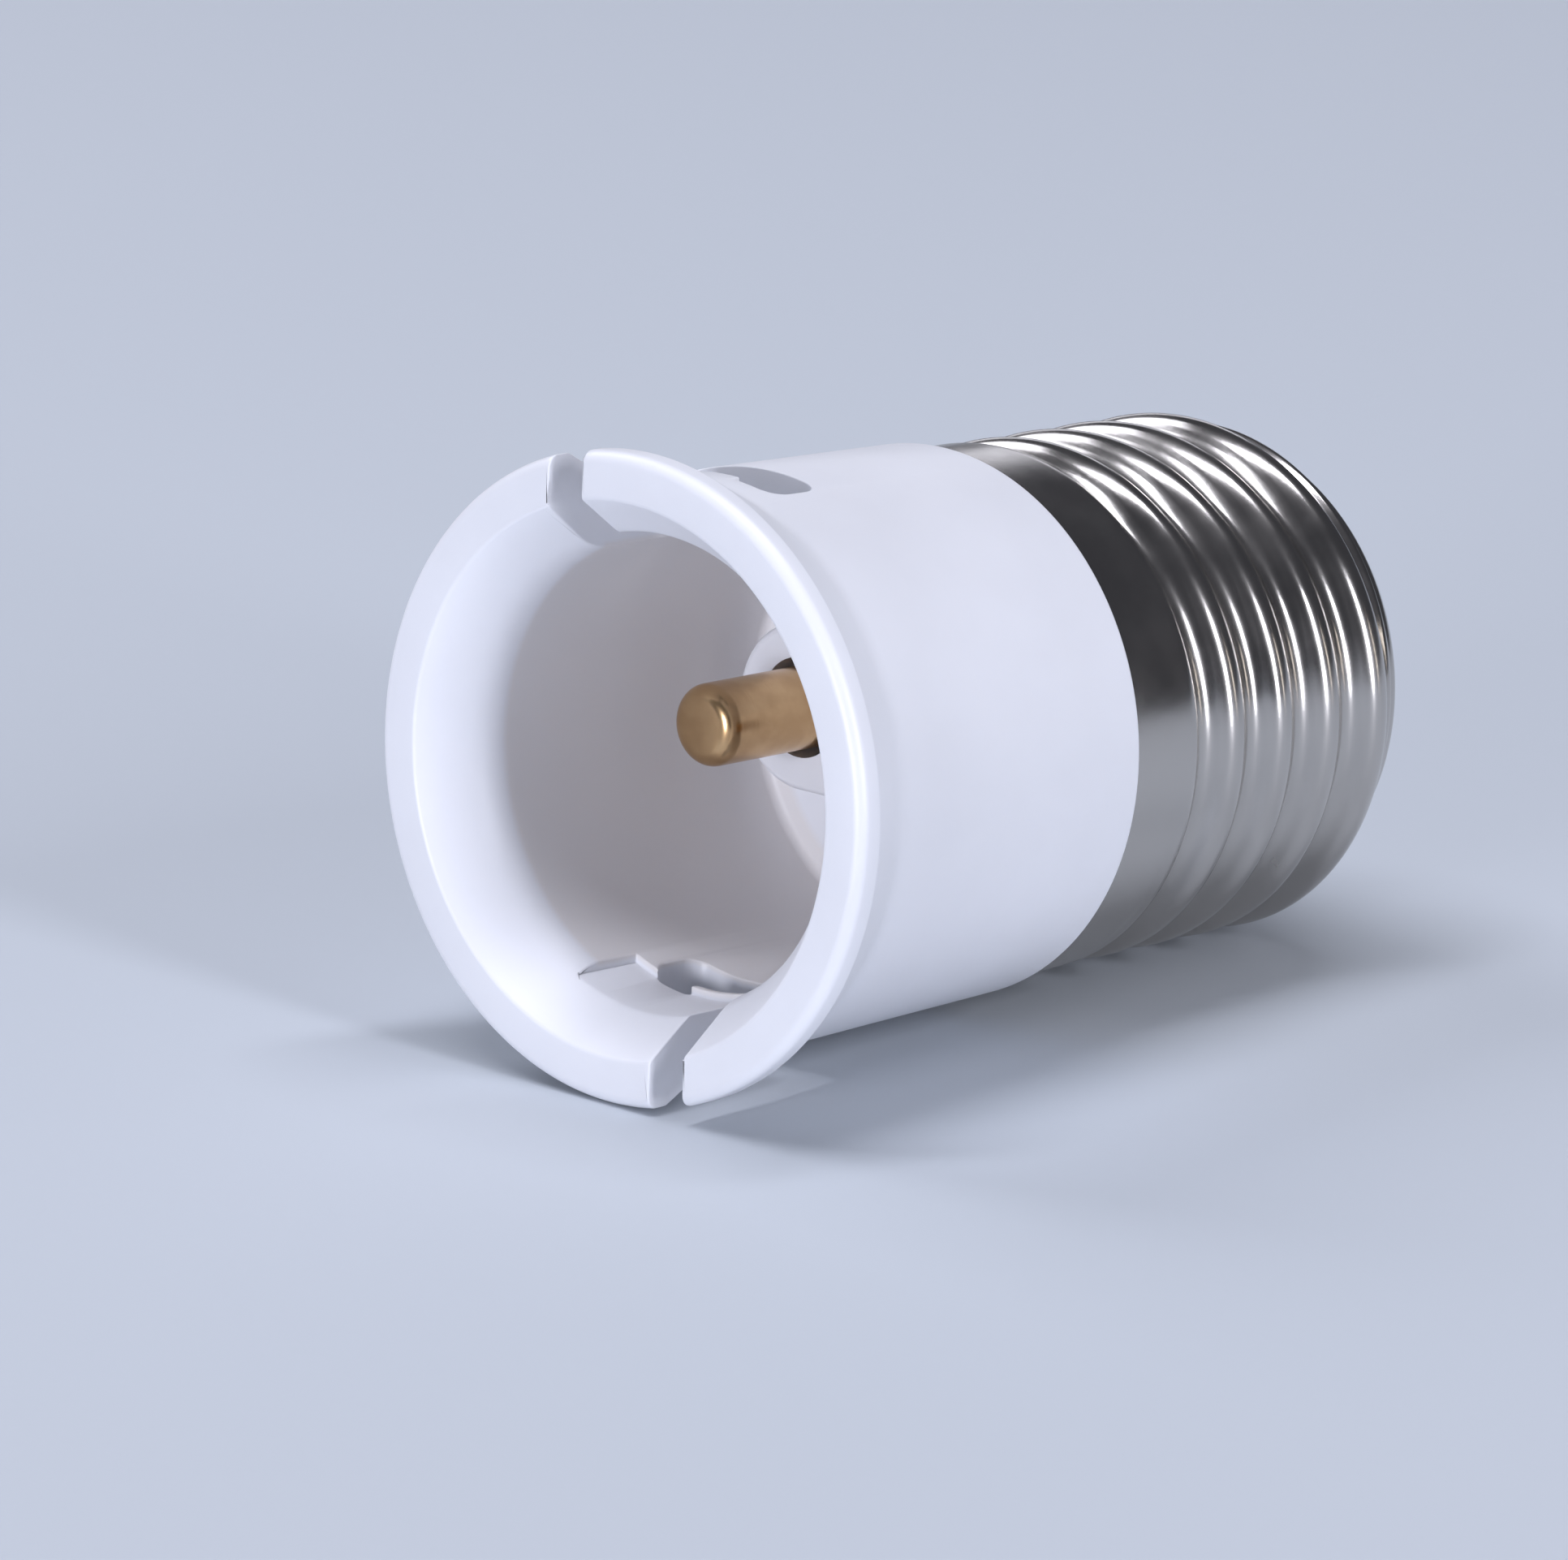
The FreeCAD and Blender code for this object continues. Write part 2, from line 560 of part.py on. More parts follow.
def stacked_circle(sketch, side, radius, tag):
    """A circle about one carrier screw's axis, on a sketch across the adapter."""
    centre = Vector(0, side * size("pillar_offset"), 0)
    index = sketch.addGeometry(Part.Circle(centre, Vector(0, 0, 1), total(radius)), False)
    sketch.addConstraint(Sketcher.Constraint("PointOnObject", index, CENTRE, -2))
    number = sketch.addConstraint(Sketcher.Constraint("DistanceY", -1, 1, index, CENTRE, centre.y))
    sketch.renameConstraint(number, tag + "Y")
    sign = "" if side > 0 else "-"
    sketch.setExpression("Constraints." + tag + "Y", sign + "Dims.pillar_offset")
    number = sketch.addConstraint(Sketcher.Constraint("Radius", index, total(radius)))
    sketch.renameConstraint(number, tag + "R")
    sketch.setExpression("Constraints." + tag + "R", formula(radius))


def make_plunger(label):
    """Turned brass contact: domed tip, shaft, collar that stops it, and a tail in the spring."""
    body = new_body(label)
    stop = FLOOR_BACK + " + seat_gap"
    tip = "floor_depth - plunger_reach"
    revolve(body, [
        (tip, "0"),
        (tip, "plunger_radius"),
        (stop, "plunger_radius"),
        (stop, "guide_radius - guide_clearance"),
        (stop + " + collar_length", "guide_radius - guide_clearance"),
        (stop + " + collar_length", "tail_radius"),
        (stop + " + collar_length + tail_length", "tail_radius"),
        (stop + " + collar_length + tail_length", "0"),
    ])
    round_edges(body, ring_at(tip, "plunger_radius"), "plunger_dome", "Dome")
    return body


def make_terminal(label):
    """Brass cup that the spring bears on, with a solder tag through the plate."""
    body = new_body(label)
    revolve(body, [
        (CUP_BACK, "0"),
        (CUP_FLOOR, "0"),
        (CUP_FLOOR, "cup_radius - cup_wall"),
        (CUP_BACK + " - cup_depth", "cup_radius - cup_wall"),
        (CUP_BACK + " - cup_depth", "cup_radius"),
        (CUP_BACK, "cup_radius"),
    ])
    tag = new_sketch(body, "TagOutline", "YZ_Plane", CUP_FLOOR)
    half_width = size("tag_width") / 2
    half_thick = size("tag_thickness") / 2
    draw_centred_box(tag, half_width, half_thick, "Dims.tag_width / 2", "Dims.tag_thickness / 2")
    pad(body, tag, "cup_wall + tag_length", "Tag")
    hole = new_sketch(body, "TagHoleOutline", "XY_Plane", "0")
    draw_circle(hole, TAG_END + " - tag_hole - tag_hole", "0", "tag_hole", "Hole")
    through = body.newObject("PartDesign::Pocket", "TagHole")
    through.Profile = hole
    through.Type = 1
    through.Midplane = True
    doc.recompute()
    return body


def draw_centred_box(sketch, half_wide, half_high, wide_text, high_text, tag="b"):
    """A rectangle about the sketch's origin."""
    corners = [(-1, -1), (1, -1), (1, 1), (-1, 1)]
    first = len(sketch.Geometry)
    for number in range(4):
        start = corners[number]
        end = corners[(number + 1) % 4]
        sketch.addGeometry(Part.LineSegment(
            Vector(start[0] * half_wide, start[1] * half_high, 0),
            Vector(end[0] * half_wide, end[1] * half_high, 0)), False)
    for number in range(4):
        sketch.addConstraint(Sketcher.Constraint(
            "Coincident", first + number, 2, first + (number + 1) % 4, 1))
        kind = "Horizontal" if number % 2 == 0 else "Vertical"
        sketch.addConstraint(Sketcher.Constraint(kind, first + number))
    sketch.addConstraint(Sketcher.Constraint("Symmetric", first, 1, first + 2, 1, -1, 1))
    for name, kind, value, text in (
        (tag + "Wide", "DistanceX", half_wide, wide_text),
        (tag + "High", "DistanceY", half_high, high_text),
    ):
        number = sketch.addConstraint(Sketcher.Constraint(kind, -1, 1, first + 2, 1, value))
        sketch.renameConstraint(number, name)
        sketch.setExpression("Constraints." + name, text)


def make_carrier():
    """Insulating plate with a pocket for each terminal and a hole for each screw."""
    body = new_body("contact_carrier")
    edge = "cavity_radius - carrier_clearance"
    revolve(body, [
        (CARRIER_FRONT, "0"),
        (CARRIER_FRONT, edge),
        (CARRIER_BACK, edge),
        (CARRIER_BACK, "0"),
    ])
    pockets = new_sketch(body, "PocketOutline", "YZ_Plane", CARRIER_FRONT)
    for side, tag in ((1, "Left"), (-1, "Right")):
        spaced_circle(pockets, side, "cup_radius + cup_clearance", tag)
    pocket(body, pockets, "carrier_thickness - carrier_floor", "Pockets")
    holes = new_sketch(body, "HoleOutline", "YZ_Plane", CARRIER_FRONT)
    for side, tag in ((1, "Top"), (-1, "Bottom")):
        stacked_circle(holes, side, "screw_radius + screw_through", tag)
    pocket(body, holes, "carrier_thickness + overshoot", "ScrewHoles")
    for side, name in ((1, "Left"), (-1, "Right")):
        slit = new_sketch(body, "Slit" + name, "YZ_Plane", CARRIER_FRONT)
        slit.AttachmentOffset = Placement(
            Vector(side * HALF_SPACING, 0, total(CARRIER_FRONT)), Rotation())
        sign = "" if side > 0 else "-"
        slit.setExpression("AttachmentOffset.Base.x", sign + "Dims.contact_spacing / 2")
        slit.setExpression("AttachmentOffset.Base.z", formula(CARRIER_FRONT))
        draw_centred_box(
            slit,
            size("tag_width") / 2 + size("tag_clearance"),
            size("tag_thickness") / 2 + size("tag_clearance"),
            "Dims.tag_width / 2 + Dims.tag_clearance",
            "Dims.tag_thickness / 2 + Dims.tag_clearance",
        )
        pocket(body, slit, "carrier_thickness + overshoot", "TagSlit" + name)
    return body


def make_screw(label):
    """Pan head screw with a cross recess; its fine thread is left plain."""
    body = new_body(label)
    head = CARRIER_BACK + " + seat_gap"
    tip = head + " - screw_length"
    revolve(body, [
        (tip, "0"),
        (tip + " + screw_point", "screw_radius"),
        (head, "screw_radius"),
        (head, "head_radius"),
        (head + " + head_height", "head_radius"),
        (head + " + head_height", "0"),
    ])
    round_edges(body, ring_at(head + " + head_height", "head_radius"), "head_round", "HeadRound")
    recess_floor = head + " + head_height - cross_depth"
    for name, wide, high in (
        ("CrossWide", "cross_length", "cross_width"),
        ("CrossTall", "cross_width", "cross_length"),
    ):
        recess = new_sketch(body, name + "Outline", "YZ_Plane", recess_floor)
        rules = ("Dims.%s / 2" % wide, "Dims.%s / 2" % high)
        draw_centred_box(recess, size(wide) / 2, size(high) / 2, rules[0], rules[1])
        pocket(body, recess, "cross_depth + overshoot", name)
    return body


def make_insulator():
    """Insulating cup held by the shell's rolled lip, with a seat for the centre contact."""
    body = new_body("end_insulator")
    back = "insulator_front + insulator_length"
    inner = back + " - insulator_wall"
    shoulder = "insulator_front + insulator_step"
    neck = "lip_radius - insulator_clearance"
    revolve(body, [
        ("insulator_front", "insulator_hollow"),
        ("insulator_front", "insulator_radius"),
        (shoulder, "insulator_radius"),
        (shoulder + " + insulator_shoulder", neck),
        (SHELL_END + " + insulator_proud", neck),
        (back, "insulator_seat"),
        (back, "rivet_radius + seat_gap"),
        (inner, "rivet_radius + seat_gap"),
        (inner, "insulator_seat"),
    ])
    return body


def make_rivet():
    """Nickel-plated rivet: flat-topped button, hollow shank and turned-over end."""
    body = new_body("centre_contact")
    seat = "insulator_front + insulator_length + seat_gap"
    inner = RIVET_END + " + rivet_flare_length"
    revolve(body, [
        (RIVET_END, "rivet_hole"),
        (RIVET_END, "rivet_flare"),
        (inner, "rivet_flare"),
        (inner, "rivet_radius"),
        (seat, "rivet_radius"),
        (seat, "tip_radius"),
        (seat + " + tip_height - tip_round", "tip_radius"),
        (seat + " + tip_height", "tip_flat"),
        (seat + " + tip_height", "0"),
        (seat + " + tip_height - tip_round", "0"),
        (seat + " + tip_height - tip_round", "rivet_hole"),
    ])
    return body


def make_washer():
    """Flat ring between the rivet's turned-over end and the insulator."""
    body = new_body("contact_washer")
    face = INSULATOR_FLOOR + " - seat_gap"
    revolve(body, [
        (face + " - washer_thickness", "rivet_radius + seat_gap"),
        (face + " - washer_thickness", "washer_radius"),
        (face, "washer_radius"),
        (face, "rivet_radius + seat_gap"),
    ])
    return body


def blend(value, start, end):
    """A smooth step from 0 at the start to 1 at the end."""
    share = min(1.0, max(0.0, (value - start) / (end - start)))
    return share * share * (3 - 2 * share)


def add_shape(label, shape):
    feature = doc.addObject("Part::Feature", label)
    feature.Label = label
    feature.Shape = shape
    return feature


def shell_surface(stations, inward):
    """One skin of the screw shell: a collar, a helical wave for the thread, and the end lip.

    Each station is a depth, a plain radius there and the direction in which the sheet is thick.
    """
    mean = (size("thread_crest") + size("thread_root")) / 2
    wave = (size("thread_crest") - size("thread_root")) / 2
    around = 32
    rows = []
    for depth, radius, lean in stations:
        formed = blend(depth, size("collar_end"), size("thread_full"))
        formed *= 1 - blend(depth, size("thread_fade"), size("thread_gone"))
        row = []
        for step in range(around + 1):
            turn = 2 * math.pi * step / around
            # The turn is counted from underneath against the clock, seen from the mouth, so a
            # right-hand thread's crest comes nearer to the mouth as it grows
            phase = 2 * math.pi * (depth - size("rest_crest")) / size("thread_pitch") + turn
            wavy = mean + wave * math.cos(phase)
            here = radius * (1 - formed) + wavy * formed
            x = depth - inward * math.sin(lean)
            r = here - inward * math.cos(lean)
            row.append(Vector(x, -r * math.sin(turn), -r * math.cos(turn)))
        rows.append(row)
    surface = Part.BSplineSurface()
    surface.interpolate(rows)
    return surface


def make_shell():
    """Formed sheet: the thread is a wave rolled into the wall, so it shows inside as well."""
    start = total("body_length + shell_gap")
    stations = []
    per_pitch = 9
    span = size("thread_gone") - start
    count = round(span / size("thread_pitch") * per_pitch)
    for step in range(count):
        depth = start + span * step / count
        fade = blend(depth, size("thread_fade"), size("thread_gone"))
        radius = size("collar_outside") * (1 - fade) + size("lip_start_radius") * fade
        stations.append((depth, radius, 0.0))
    lip_steps = 5
    lip_height = size("lip_start_radius") - size("lip_radius")
    for step in range(lip_steps + 1):
        angle = math.pi / 2 * step / lip_steps
        depth = size("thread_gone") + size("lip_depth") * math.sin(angle)
        radius = size("lip_start_radius") - lip_height * (1 - math.cos(angle))
        stations.append((depth, radius, angle))
    skins = [shell_surface(stations, 0.0), shell_surface(stations, size("sheet"))]
    faces = [skin.toShape() for skin in skins]
    for u in skins[0].bounds()[:2]:
        edges = [skin.uIso(u).toShape() for skin in skins]
        faces.append(Part.makeRuledSurface(edges[0], edges[1]))
    shell = Part.makeShell(faces)
    shell.sewShape(1e-4)
    solid = Part.makeSolid(Part.Shell(shell.Faces))
    if solid.Volume < 0:
        solid.reverse()
    return add_shape("screw_shell", solid)


def make_spring(label):
    """Compression spring whose end turns lie closed, from the plunger's collar to the cup."""
    start = total(FLOOR_BACK + " + seat_gap + collar_length + seat_gap + spring_wire")
    end = total(CUP_FLOOR + " - seat_gap - spring_wire")
    turns = size("spring_turns")
    per_turn = 16
    count = round(turns * per_turn)
    closed = size("spring_flat")
    open_after = closed + size("spring_opening")
    rises = [0.0]
    for step in range(count):
        turn = (step + 0.5) / per_turn
        opened = blend(turn, closed, open_after)
        opened *= 1 - blend(turn, turns - open_after, turns - closed)
        rises.append(rises[-1] + size("spring_closed") + opened)
    points = []
    for step, rise in enumerate(rises):
        angle = 2 * math.pi * step / per_turn
        across = size("spring_radius") * math.cos(angle)
        up = size("spring_radius") * math.sin(angle)
        points.append(Vector(start + (end - start) * rise / rises[-1], across, up))
    line = Part.BSplineCurve()
    line.interpolate(points)
    path = Part.Wire(line.toShape())
    rim = Part.makeCircle(size("spring_wire"), points[0], line.tangent(line.FirstParameter)[0])
    return add_shape(label, path.makePipeShell([Part.Wire(rim)], True, True))


def bent_path(points, bend):
    """Straight runs joined by arcs of one bend radius."""
    edges = []
    last = points[0]
    for before, corner, after in zip(points[:-2], points[1:-1], points[2:]):
        arriving = (corner - before).normalize()
        leaving = (after - corner).normalize()
        turn = arriving.getAngle(leaving)
        reach = bend * math.tan(turn / 2)
        start = corner - arriving * reach
        end = corner + leaving * reach
        inwards = (leaving - arriving).normalize()
        middle = corner + inwards * (bend / math.cos(turn / 2) - bend)
        edges.append(Part.LineSegment(last, start).toShape())
        edges.append(Part.Arc(start, middle, end).toShape())
        last = end
    edges.append(Part.LineSegment(last, points[-1]).toShape())
    return Part.Wire(edges)


def make_tube(path, radius):
    """A round bar along a path."""
    start = path.Edges[0].valueAt(path.Edges[0].FirstParameter)
    direction = path.Edges[0].tangentAt(path.Edges[0].FirstParameter)
    rim = Part.Wire(Part.makeCircle(radius, start, direction))
    return path.makePipeShell([rim], True, False)


def make_lead(name, points, covered):
    """A tinned wire from a tag, and the sleeving that covers the part between given points."""
    bend = size("wire_bend")
    wire = make_tube(bent_path(points, bend), size("wire_radius"))
    first = Vector(total(TAG_END + " + sleeve_start"), points[0].y, points[0].z)
    path = bent_path([first] + covered, bend)
    sleeve = make_tube(path, size("sleeve_radius"))
    sleeve = sleeve.cut(make_tube(path, total("wire_radius + sleeve_clearance")))
    return add_shape(name + "_wire", wire), add_shape(name + "_sleeve", sleeve)


def make_blob(label, centre, radius, taken):
    """Solder: a ball less everything it has flowed round, keeping the largest lump."""
    blob = Part.makeSphere(radius, centre)
    for shape in taken:
        blob = blob.cut(shape)
    lumps = sorted(blob.Solids, key=lambda solid: solid.Volume)
    return add_shape(label, lumps[-1])


def make_wiring(terminals, rivet, shell):
    """Both leads in their sleeves, and the four soldered joints."""
    tag_end = total(TAG_END)
    hole = total(TAG_END + " - tag_hole - tag_hole")
    above = size("tag_thickness") / 2 + total("wire_radius + wire_gap")
    start = hole - size("wire_start")
    rivet_end = total(RIVET_END)

    # The live wire crosses to the axis and ends inside the rivet
    centre = Vector(tag_end + size("live_centre"), 0, 0)
    live = [
        Vector(start, HALF_SPACING, above),
        Vector(tag_end + size("live_turn"), HALF_SPACING, above),
        centre,
        Vector(rivet_end + size("live_entry"), 0, 0),
    ]
    bare = Vector(rivet_end - size("sleeve_stop"), 0, 0)
    live_wire, live_sleeve = make_lead("live", live, [live[1], centre, bare])

    # The neutral wire goes out to the shell and lies along its wall
    reach = total("thread_root - sheet - wire_radius - wire_gap")
    rise = size("neutral_rise")
    finish = size("neutral_end")
    turn = Vector(tag_end + size("neutral_turn"), -HALF_SPACING, above)
    wall = Vector(tag_end + size("neutral_wall"), -math.sqrt(reach ** 2 - rise ** 2), rise)
    end = Vector(wall.x, -math.sqrt(reach ** 2 - finish ** 2), finish)
    neutral = [Vector(start, -HALF_SPACING, above), turn, wall, end]
    bare = wall - (wall - turn).normalize() * size("sleeve_stop")
    neutral_wire, neutral_sleeve = make_lead("neutral", neutral, [turn, bare])
    made = [live_wire, live_sleeve, neutral_wire, neutral_sleeve]

    for side, word, wire, terminal in (
        (1, "live", live_wire, terminals[0]),
        (-1, "neutral", neutral_wire, terminals[1]),
    ):
        tag = terminal.Shape.copy()
        tag.translate(Vector(0, side * HALF_SPACING, 0))
        spot = Vector(hole, side * HALF_SPACING, size("tag_thickness") / 2)
        taken = [tag, wire.Shape]
        made.append(make_blob("solder_%s_tag" % word, spot, size("tag_solder"), taken))
    spot = Vector(rivet_end, 0, 0)
    taken = [rivet.Shape, live_wire.Shape]
    made.append(make_blob("solder_centre", spot, size("tip_solder"), taken))
    taken = [shell.Shape, neutral_wire.Shape]
    spot = end - (end - wall).normalize() * size("shell_solder") / 2
    made.append(make_blob("solder_shell", spot, size("shell_solder"), taken))
    return made


# Builds every piece about the adapter's own axis
pieces = []
housing = make_housing()
pieces.append((housing, 0.0, 0.0))
shell = make_shell()
pieces.append((shell, 0.0, 0.0))
insulator = make_insulator()
pieces.append((insulator, 0.0, 0.0))
rivet = make_rivet()
pieces.append((rivet, 0.0, 0.0))
pieces.append((make_washer(), 0.0, 0.0))
pieces.append((make_carrier(), 0.0, 0.0))
terminals = []
for side, word in ((1, "left"), (-1, "right")):
    across = side * HALF_SPACING
    terminal = make_terminal("terminal_" + word)
    terminals.append(terminal)
    pieces.append((make_plunger("plunger_" + word), across, 0.0))
    pieces.append((make_spring("spring_" + word), across, 0.0))
    pieces.append((terminal, across, 0.0))
for side, word in ((1, "top"), (-1, "bottom")):
    pieces.append((make_screw("carrier_screw_" + word), 0.0, side * size("pillar_offset")))
for made in make_wiring(terminals, rivet, shell):
    pieces.append((made, 0.0, 0.0))

# Lays the adapter down: it leans until the rim and the last thread crest both touch the table
drop = size("rim_radius") - size("thread_crest")
rim_middle = (size("rim_round") + size("rim_land")) / 2
lean = math.degrees(math.atan2(drop, size("rest_crest") - rim_middle))
turned = Rotation(Vector(0, 1, 0), lean)
for piece, across, up in pieces:
    piece.Placement = Placement(turned.multVec(Vector(0, across, up)), turned)
doc.recompute()

whole = Part.makeCompound([piece.Shape for piece, across, up in pieces])
whole = whole.optimalBoundingBox(False, False)
settle = Vector(-(whole.XMin + whole.XMax) / 2, -(whole.YMin + whole.YMax) / 2, -whole.ZMin)
for piece, across, up in pieces:
    piece.Placement = Placement(turned.multVec(Vector(0, across, up)) + settle, turned)
doc.recompute()

# Checks every object before anything is written
for item in doc.Objects:
    if "Invalid" in item.State or "Error" in item.State:
        raise RuntimeError("%s failed: %s" % (item.Label, item.State))
for piece, across, up in pieces:
    shape = piece.Shape
    if shape.isNull() or not shape.isValid() or shape.Volume <= 0:
        raise RuntimeError("%s has no sound shape" % piece.Label)

os.makedirs("parts", exist_ok=True)
for piece, across, up in pieces:
    piece.Shape.exportStep("parts/%s.step" % piece.Label)
    print("%-24s %9.2f mm3 %d solid" % (piece.Label, piece.Shape.Volume, len(piece.Shape.Solids)))
print("lean %.3f degrees, moved by %s" % (lean, settle))
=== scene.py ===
import json
import math

import bmesh
import bpy
from bpy.props import FloatProperty, FloatVectorProperty, IntProperty, PointerProperty
from mathutils import Matrix, Vector


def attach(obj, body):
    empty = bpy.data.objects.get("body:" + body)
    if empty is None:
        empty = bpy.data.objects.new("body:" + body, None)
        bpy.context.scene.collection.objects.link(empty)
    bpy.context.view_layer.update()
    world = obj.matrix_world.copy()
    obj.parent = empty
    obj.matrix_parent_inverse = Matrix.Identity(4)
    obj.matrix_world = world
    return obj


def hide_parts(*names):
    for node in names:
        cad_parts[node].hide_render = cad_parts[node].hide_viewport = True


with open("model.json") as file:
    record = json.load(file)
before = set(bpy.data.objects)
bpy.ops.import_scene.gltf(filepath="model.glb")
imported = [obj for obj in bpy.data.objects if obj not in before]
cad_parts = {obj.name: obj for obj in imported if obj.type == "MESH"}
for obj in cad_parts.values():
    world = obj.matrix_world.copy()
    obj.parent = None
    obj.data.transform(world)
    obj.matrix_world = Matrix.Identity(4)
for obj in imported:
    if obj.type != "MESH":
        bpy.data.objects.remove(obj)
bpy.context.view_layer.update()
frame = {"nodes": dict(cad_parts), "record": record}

bl_info = {
    "name": "Lamp Adapter",
    "version": (1, 0, 0),
    "blender": (4, 5, 0),
    "location": "3D View > Sidebar > Adapter",
    "description": "Dresses a screw to bayonet lamp adapter and sets it in a studio",
    "category": "Object",
}

MM = 0.001
NEAR = 1e-6  # Two coordinates closer than this, in metres, are the same
AXLE = 0.02 * MM  # A lathe section that reaches the axis stops at this radius
RECORD = frame["record"]

# The adapter is modelled about its own axis, from the mouth along X, and then laid down where
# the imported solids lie: the centre contact's mount gives the place and the lean.
LENGTH = 48.45 * MM
TIP = next(mount for mount in RECORD["mounts"] if mount["name"] == "centre_contact_face")
AXIS = Vector(TIP["axis"]).normalized()
MOUTH = Vector(TIP["pos_m"]) - AXIS * LENGTH
LEAN = math.asin(-AXIS.z)
LAY = Matrix.Translation(MOUTH) @ Matrix.Rotation(LEAN, 4, "Y")


def length(name, default, description):
    """A size in metres whose default is given in millimetres."""
    return FloatProperty(
        name=name, description=description, default=default * MM, min=0.0,
        unit="LENGTH", subtype="DISTANCE", precision=5,
    )


def colour(name, default, description):
    """A colour that is stored linear and written as an sRGB hex value."""
    return FloatVectorProperty(
        name=name, description=description, default=linear(default), size=4, min=0.0, max=1.0,
        subtype="COLOR",
    )


def linear(code):
    """Linear RGBA of an sRGB hex value."""
    channels = [int(code[place:place + 2], 16) / 255 for place in (1, 3, 5)]
    return tuple(
        c / 12.92 if c <= 0.04045 else ((c + 0.055) / 1.055) ** 2.4 for c in channels
    ) + (1.0,)


class MouldingSizes(bpy.types.PropertyGroup):
    mouth_radius: length("Mouth radius", 13.45, "Inner edge of the flat front ring")
    rim_radius: length("Rim radius", 15.75, "Outside of the flange")
    rim_land: length("Rim land", 1.3, "Straight part of the flange's edge")
    flare_depth: length("Flare depth", 4.6, "Depth at which the flange has become the body")
    neck_radius: length("Neck radius", 14.05, "Body behind the flange")
    shoulder_radius: length("Shoulder radius", 13.65, "Body at the screw shell")
    body_length: length("Body length", 22.3, "Front ring to shoulder")
    land_radius: length("Land radius", 12.8, "Land inside the shell's collar")
    spigot_radius: length("Spigot radius", 11.6, "Spigot inside the thread")
    cavity_radius: length("Cavity radius", 9.8, "Hollow inside the spigot")
    spigot_end: length("Spigot end", 36.2, "Front ring to the end of the spigot")
    funnel_depth: length("Funnel depth", 3.2, "Depth of the funnel")
    bore_radius: length("Bore radius", 11.2, "Bore for the lamp's cap")
    floor_depth: length("Floor depth", 22.0, "Front ring to the floor of the bore")
    floor_wall: length("Floor wall", 2.0, "Thickness of the floor")
    slot_width: length("Slot width", 2.15, "Entry slot")
    slot_offset: length("Slot offset", 4.1, "Entry slot from the centre plane")
    slot_depth: length("Slot depth", 9.8, "Front ring to the back wall of the slots")
    hook_depth: length("Hook depth", 7.1, "Front ring to the hook")
    seat_depth: length("Seat depth", 6.5, "Front ring to the pin seat")
    seat_end: length("Seat end", 3.3, "Far wall of the seat from the centre plane")
    seat_width: length("Seat width", 2.6, "Width of the seat")
    recess_step: length("Recess step", 0.4, "Recess in the bore in front of the hook")
    recess_end: length("Recess end", 4.4, "Far side of that recess from the centre plane")
    recess_depth: length("Recess depth", 6.7, "Front ring to the back of that recess")
    edge_round: length("Edge rounding", 0.09, "Soft moulded edge of the slots")
    boss_height: length("Boss height", 3.0, "Boss round the plungers")
    boss_radius: length("Boss radius", 4.2, "Half width of that boss")
    window_radius: length("Window radius", 2.5, "Hole round each plunger")
    segments: IntProperty(name="Segments", description="Sides of the moulding", default=192, min=48)


class ContactSizes(bpy.types.PropertyGroup):
    spacing: length("Spacing", 11.24, "Distance between the plungers")
    plunger_radius: length("Plunger radius", 2.05, "Plunger shaft")
    plunger_tip: length("Plunger tip", 11.85, "Front ring to the tips")
    plunger_dome: length("Plunger dome", 0.8, "Rounding of the tips")
    guide_radius: length("Guide radius", 3.45, "Guide bores")
    tip_radius: length("Contact radius", 4.75, "Centre contact")
    tip_seat: length("Contact seat", 46.95, "Front ring to the centre contact")


class ShellSizes(bpy.types.PropertyGroup):
    collar_radius: length("Collar radius", 13.2, "Plain collar")
    collar_start: length("Collar start", 22.35, "Front ring to the collar")
    collar_end: length("Collar end", 26.2, "Where the thread begins to form")
    thread_full: length("Full thread", 27.8, "Where the thread is fully formed")
    crest_radius: length("Crest radius", 13.15, "Thread crest")
    root_radius: length("Root radius", 12.1, "Thread root")
    pitch: length("Pitch", 3.63, "Pitch of the thread")
    crest_under: length("Crest underneath", 42.1, "Last crest underneath")
    thread_fade: length("Fade", 42.2, "Where the thread fades")
    thread_gone: length("Gone", 43.4, "Where the thread has gone")
    lip_start: length("Lip start", 11.9, "Radius where the end lip starts")
    lip_radius: length("Lip radius", 10.3, "Opening in the end")
    lip_depth: length("Lip depth", 1.1, "Length of the rolled lip")
    sheet: length("Sheet", 0.35, "Sheet thickness")


class Finishes(bpy.types.PropertyGroup):
    moulding: colour("Moulding", "#e6e7ec", "White PBT")
    nickel: colour("Nickel", "#c4c0bb", "Nickel plate")
    # Painted shade: a greyer, warmer white laid on the bore's wall behind the funnel
    bore: colour("Bore", "#e3e0e0", "Tint of the bore's wall, fitted to the photograph")
    brass: colour("Brass", "#cfac80", "Turned brass")
    insulator: colour("Insulator", "#1c1b1e", "Black thermoset")
    floor: colour("Floor", "#c7cdd4", "Studio floor")


GROUPS = {
    "adapter_moulding": MouldingSizes,
    "adapter_contacts": ContactSizes,
    "adapter_shell": ShellSizes,
    "adapter_finishes": Finishes,
}


# Modelling by hand

def clear_selection():
    if bpy.context.object and bpy.context.object.mode != "OBJECT":
        bpy.ops.object.mode_set(mode="OBJECT")
    bpy.ops.object.select_all(action="DESELECT")


def take(piece):
    clear_selection()
    piece.select_set(True)
    bpy.context.view_layer.objects.active = piece


def settle():
    """Puts the active object's place, turn and size into its mesh."""
    bpy.ops.object.transform_apply(location=True, rotation=True, scale=True)


